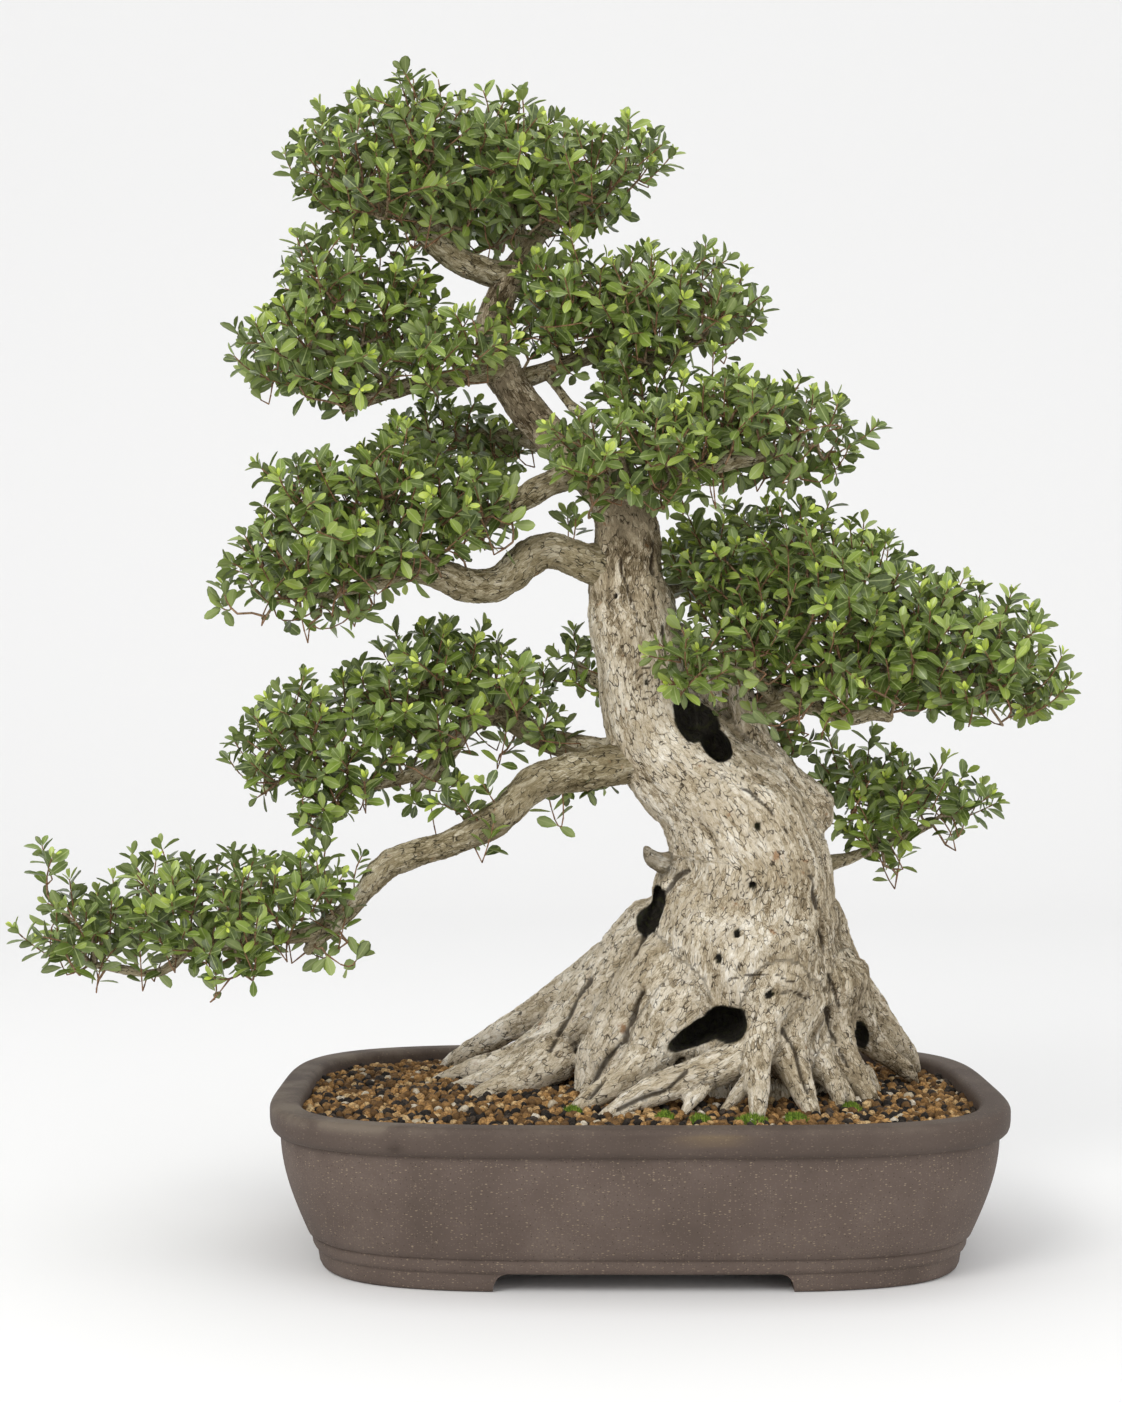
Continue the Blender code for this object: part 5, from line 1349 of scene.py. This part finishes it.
# %% [markdown]
# ## The soil
#
# Bonsai soil is loose sieved grains of 4 to 7 mm: fired clay from tan to orange-brown, dark lava
# and a little white pumice. Each grain is a cube whose points are pushed out to a lumpy ball.
# They lie over the CAD soil, which keeps its shape and is coloured dark brown as painted shade in the gaps
# between them.

# %% Scatter the grains
GRAIN_SPACING = 4.0
GRAIN_TRIES = 90000
GRAIN_HALF_SIZES = (1.9, 3.3)
SOIL_DEPTH = 14       # grains lie no further than this below the top of the mound
LOOK_FROM = 0.3       # the height from which a ray looks down for the soil
soil_points, soil_triangles = node_arrays("soil")
soil_tree = BVHTree.FromPolygons(soil_points.tolist(), soil_triangles.tolist())
soil_low, soil_high = (np.array(corner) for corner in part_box("soil"))


def scattered_grains(spacing, tries, seed):
    """Places on the soil's top, clear of the wood and of each other, found through a grid of cells."""
    draw = np.random.default_rng(seed)
    cells, kept = {}, []
    candidates = draw.uniform(soil_low[:2], soil_high[:2], (tries, 2))
    for x, y in candidates:
        cell = (int(x // spacing), int(y // spacing))
        close = [cells[(cell[0] + i, cell[1] + j)] for i in (-1, 0, 1) for j in (-1, 0, 1)
                 if (cell[0] + i, cell[1] + j) in cells]
        if any((x - a) ** 2 + (y - b) ** 2 < spacing ** 2 for a, b in close):
            continue
        hit, normal, _, _ = soil_tree.ray_cast(Vector((x, y, LOOK_FROM)), Vector((0, 0, -1)))
        if hit is None or hit.z < soil_high[2] - SOIL_DEPTH * MM or normal.z < 0.3:
            continue
        near, way, _, _ = trunk_tree.find_nearest(hit)
        if (hit - near).dot(way) < 0.6 * MM:
            continue
        cells[cell] = (x, y)
        kept.append(tuple(hit))
    return np.array(kept)


def grain_shape():
    """A cube with two by two squares on each side, pushed out to a ball: 26 points and 24 quads."""
    grid = np.array([(x, y, z) for x in (-1, 0, 1) for y in (-1, 0, 1) for z in (-1, 0, 1)
                     if (x, y, z) != (0, 0, 0)], float)
    number = {tuple(point): place for place, point in enumerate(grid.astype(int))}
    quads = []
    for axis in range(3):
        for end in (-1, 1):
            for a in (-1, 0):
                for b in (-1, 0):
                    ring = [(a, b), (a + 1, b), (a + 1, b + 1), (a, b + 1)]
                    ring = ring if (end > 0) != (axis == 1) else ring[::-1]
                    quads.append([number[tuple(np.insert(corner, axis, end))] for corner in ring])
    return unit(grid), np.array(quads)


ball, ball_quads = grain_shape()


def grain_heap(name, centres, sizes, material, seed):
    """Lumpy balls of their own size, turned any way, as one piece; each has a tone."""
    draw = np.random.default_rng(seed)
    count = len(centres)
    stretch = draw.uniform(0.72, 1.25, (count, 1, 3))
    lumpy = draw.uniform(0.84, 1.14, (count, len(ball), 1))
    shape = ball[None] * lumpy * stretch * sizes[:, None, None]
    four = unit(draw.normal(size=(count, 4)))
    w, x, y, z = four.T
    turn = np.stack([1 - 2 * (y * y + z * z), 2 * (x * y - z * w), 2 * (x * z + y * w),
                     2 * (x * y + z * w), 1 - 2 * (x * x + z * z), 2 * (y * z - x * w),
                     2 * (x * z - y * w), 2 * (y * z + x * w), 1 - 2 * (x * x + y * y)], 1)
    points = np.einsum("nij,nkj->nki", turn.reshape(-1, 3, 3), shape) + centres[:, None]
    blocks = [(np.arange(count)[:, None, None] * len(ball) + ball_quads).reshape(-1, 4)]
    tone = np.repeat(draw.random(count), len(ball))
    heap = put_mesh(name, points.reshape(-1, 3), blocks, material, {"tone": tone})
    place_piece(heap, "soil")


# %% Grain materials
def grain_material(name, stops, pit_code, roughness):
    """Porous grains: a tone for each, darkened in its pores, with a rough dusty skin."""
    material, tree, surface = new_material(name, Roughness=roughness, Specular_IOR_Level=0.25)
    tone = add_node(tree, "ShaderNodeAttribute", {"attribute_name": "tone"}).outputs["Fac"]
    place = add_node(tree, "ShaderNodeTexCoord").outputs["Object"]
    pores = add_node(tree, "ShaderNodeTexNoise", {"Scale": 700.0, "Detail": 4.0, "Roughness": 0.7},
                     {"Vector": place}).outputs["Fac"]
    body = ramp(tree, tone, stops)
    body = blended(tree, span(tree, pores, 0.6, 0.38, 0.0, 0.7), body, linear(pit_code))
    tree.links.new(body, surface.inputs["Base Color"])
    roughened(tree, surface, pores, 0.8, 0.0006)
    return material


fired_clay = grain_material("fired_clay_grains", [
    (0.0, "5a4228"), (0.3, "7a5c38"), (0.55, "9b7648"), (0.8, "bd925b"), (1.0, "dcbf8e")], "4a351f", 0.9)
lava = grain_material("dark_lava_grains", [(0.0, "1d1916"), (0.6, "37302a"), (1.0, "54483d")], "120f0d", 0.85)
pumice = grain_material("white_pumice_grains", [(0.0, "b9ab92"), (1.0, "e0d8c8")], "8e8068", 0.9)
soil_gap_shade = grain_material("soil_base_gap_shade", [(0.0, "38291a"), (1.0, "38291a")], "20170e", 0.95)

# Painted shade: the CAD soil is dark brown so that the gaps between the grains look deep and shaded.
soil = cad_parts["soil"]
soil.data.materials.clear()
soil.data.materials.append(soil_gap_shade)

places = scattered_grains(GRAIN_SPACING * MM, GRAIN_TRIES, 900)
draw = np.random.default_rng(901)
sizes = draw.uniform(*GRAIN_HALF_SIZES, len(places)) * MM
places[:, 2] += draw.uniform(-0.6, 1.4, len(places)) * MM
kind = draw.random(len(places))
for name, material, chosen, seed in (
        ("soil_fired_clay_grains", fired_clay, kind < 0.70, 910),
        ("soil_lava_grains", lava, (kind >= 0.70) & (kind < 0.97), 911),
        ("soil_pumice_grains", pumice, kind >= 0.97, 912)):
    grain_heap(name, places[chosen], sizes[chosen], material, seed)

# %% [markdown]
# Small cushions of moss have settled where the roots hold water. Each is a patch of short
# three-sided blades that lean a little out from its middle.

# %% Moss
MOSS_PATCHES = [(-12, -101, 9), (-41, -99, 6), (13, -94, 7), (-60, -92, 5), (48, -62, 5), (-112, -78, 5)]
MOSS_BLADES = 260
moss_green = grain_material("bright_cushion_moss",
                            [(0.0, "4f6a1c"), (0.6, "7d9a2c"), (1.0, "a3bb48")], "394f14", 0.8)


def moss_blades(seed):
    """Four-faced spikes scattered over round patches: taller in the middle, leaning outwards."""
    draw = np.random.default_rng(seed)
    roots, tips = [], []
    for x, y, wide in MOSS_PATCHES:
        middle = placed([(x, y, 0)])[0]
        reach = np.sqrt(draw.random(MOSS_BLADES)) * wide * MM
        angle = draw.uniform(0, 2 * np.pi, MOSS_BLADES)
        for out, turn in zip(reach, angle):
            place = middle[:2] + out * np.array([math.cos(turn), math.sin(turn)])
            hit, _, _, _ = soil_tree.ray_cast(Vector((*place, LOOK_FROM)), Vector((0, 0, -1)))
            if hit is None or hit.z < soil_high[2] - SOIL_DEPTH * MM:
                continue
            rise = 1 - (out / (wide * MM)) ** 2
            foot = np.array(hit) + (0, 0, (0.8 + 2.4 * rise) * MM)
            lean = np.array([math.cos(turn), math.sin(turn), 0]) * out * 0.12 + draw.normal(0, 0.5, 3) * MM
            roots.append(foot)
            tips.append(foot + lean + (0, 0, (1.6 + 1.2 * rise) * MM))
    roots, tips = np.array(roots), np.array(tips)
    angle = draw.uniform(0, 2 * np.pi, len(roots))[:, None] + np.arange(3) * 2 * np.pi / 3
    ring = roots[:, None] + 0.75 * MM * np.stack([np.cos(angle), np.sin(angle), 0 * angle - 3], axis=2)
    points = np.concatenate([ring, tips[:, None]], axis=1)
    faces = np.array([(0, 1, 3), (1, 2, 3), (2, 0, 3), (2, 1, 0)])
    blocks = [(np.arange(len(points))[:, None, None] * 4 + faces).reshape(-1, 3)]
    return points.reshape(-1, 3), blocks, np.repeat(draw.random(len(points)), 4)


moss_points, moss_blocks, moss_tone = moss_blades(950)
moss = put_mesh("moss_cushions", moss_points, moss_blocks, moss_green, {"tone": moss_tone})
place_piece(moss, "soil")

# %% [markdown]
# ## Drain screens and clips
#
# Under the soil, black plastic mesh keeps the grains in, and a bent aluminium wire holds it down.

# %% Screen and clip materials
screen_plastic, _, _ = new_material("moulded_black_polyethylene", Roughness=0.5, Base_Color=linear("1b1b1c"))
clip_wire, _, _ = new_material("copper_anodised_aluminium", Roughness=0.35, Metallic=1.0,
                               Base_Color=linear("b08364"))
for side in ("left", "right"):
    for node, material in (("drain_screen_", screen_plastic), ("screen_clip_", clip_wire)):
        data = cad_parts[node + side].data
        data.materials.clear()
        data.materials.append(material)

# %% [markdown]
# ## Stage, lights and camera
#
# A pale sheet sweeps up behind the pot. A wide soft light from the upper left gives the leaves
# their glints, and a bright surround keeps the shadows open.

# %% Stage
def sweep_sheet():
    """A floor that curves up into a wall: a profile of floor, quarter circle and wall along X."""
    turn = np.linspace(0, np.pi / 2, 24)
    y = np.concatenate([[-6.0], 2.2 + 1.4 * np.sin(turn), [3.6]])
    z = np.concatenate([[0.0], 1.4 - 1.4 * np.cos(turn), [6.0]])
    x = np.array([-8.0, 8.0])
    points = np.stack(np.broadcast_arrays(x[None, :], y[:, None], z[:, None]), axis=2).reshape(-1, 3)
    row = np.arange(len(y) - 1)[:, None] * 2
    return points, [(row + np.array([0, 1, 3, 2])).reshape(-1, 4)]


paper, _, _ = new_material("pale_paper", Roughness=0.9, Specular_IOR_Level=0.1,
                           Base_Color=(0.86, 0.86, 0.86, 1))
stage = put_mesh("studio_sweep", *sweep_sheet(), paper)


# %% Lights
def soft_light(name, place, size, power, colour):
    """A square area light that faces the middle of the tree."""
    lamp = bpy.data.lights.new(name, "AREA")
    lamp.size = size
    lamp.energy = power
    lamp.color = colour
    holder = bpy.data.objects.new(name, lamp)
    holder.location = place
    holder.rotation_euler = (Vector((0.0, 0.0, 0.35)) - Vector(place)).to_track_quat("-Z", "Y").to_euler()
    bpy.context.collection.objects.link(holder)


soft_light("key", (-1.2, -2.2, 1.9), 1.2, 34, (1.0, 0.985, 0.96))
soft_light("fill", (1.9, -1.9, 0.9), 1.6, 12, (0.98, 0.99, 1.0))
soft_light("top", (0.2, 0.2, 2.6), 1.4, 4, (1.0, 1.0, 1.0))
world = bpy.data.worlds.new("studio_surround")
world.use_nodes = True
world.node_tree.nodes["Background"].inputs["Color"].default_value = (1.0, 1.0, 1.0, 1.0)
world.node_tree.nodes["Background"].inputs["Strength"].default_value = 0.965
bpy.context.scene.world = world
bpy.context.scene.view_settings.view_transform = "Standard"

# %% Camera
lens = bpy.data.cameras.new("front_camera")
lens.sensor_width = 36.0
lens.lens = 62.94
lens.clip_end = 50.0
camera = bpy.data.objects.new("front_camera", lens)
camera.location = (pot_middle[0] - 0.046, -1.5, 0.329)
camera.rotation_euler = (math.pi / 2, 0.0, 0.0)
bpy.context.collection.objects.link(camera)
bpy.context.scene.camera = camera
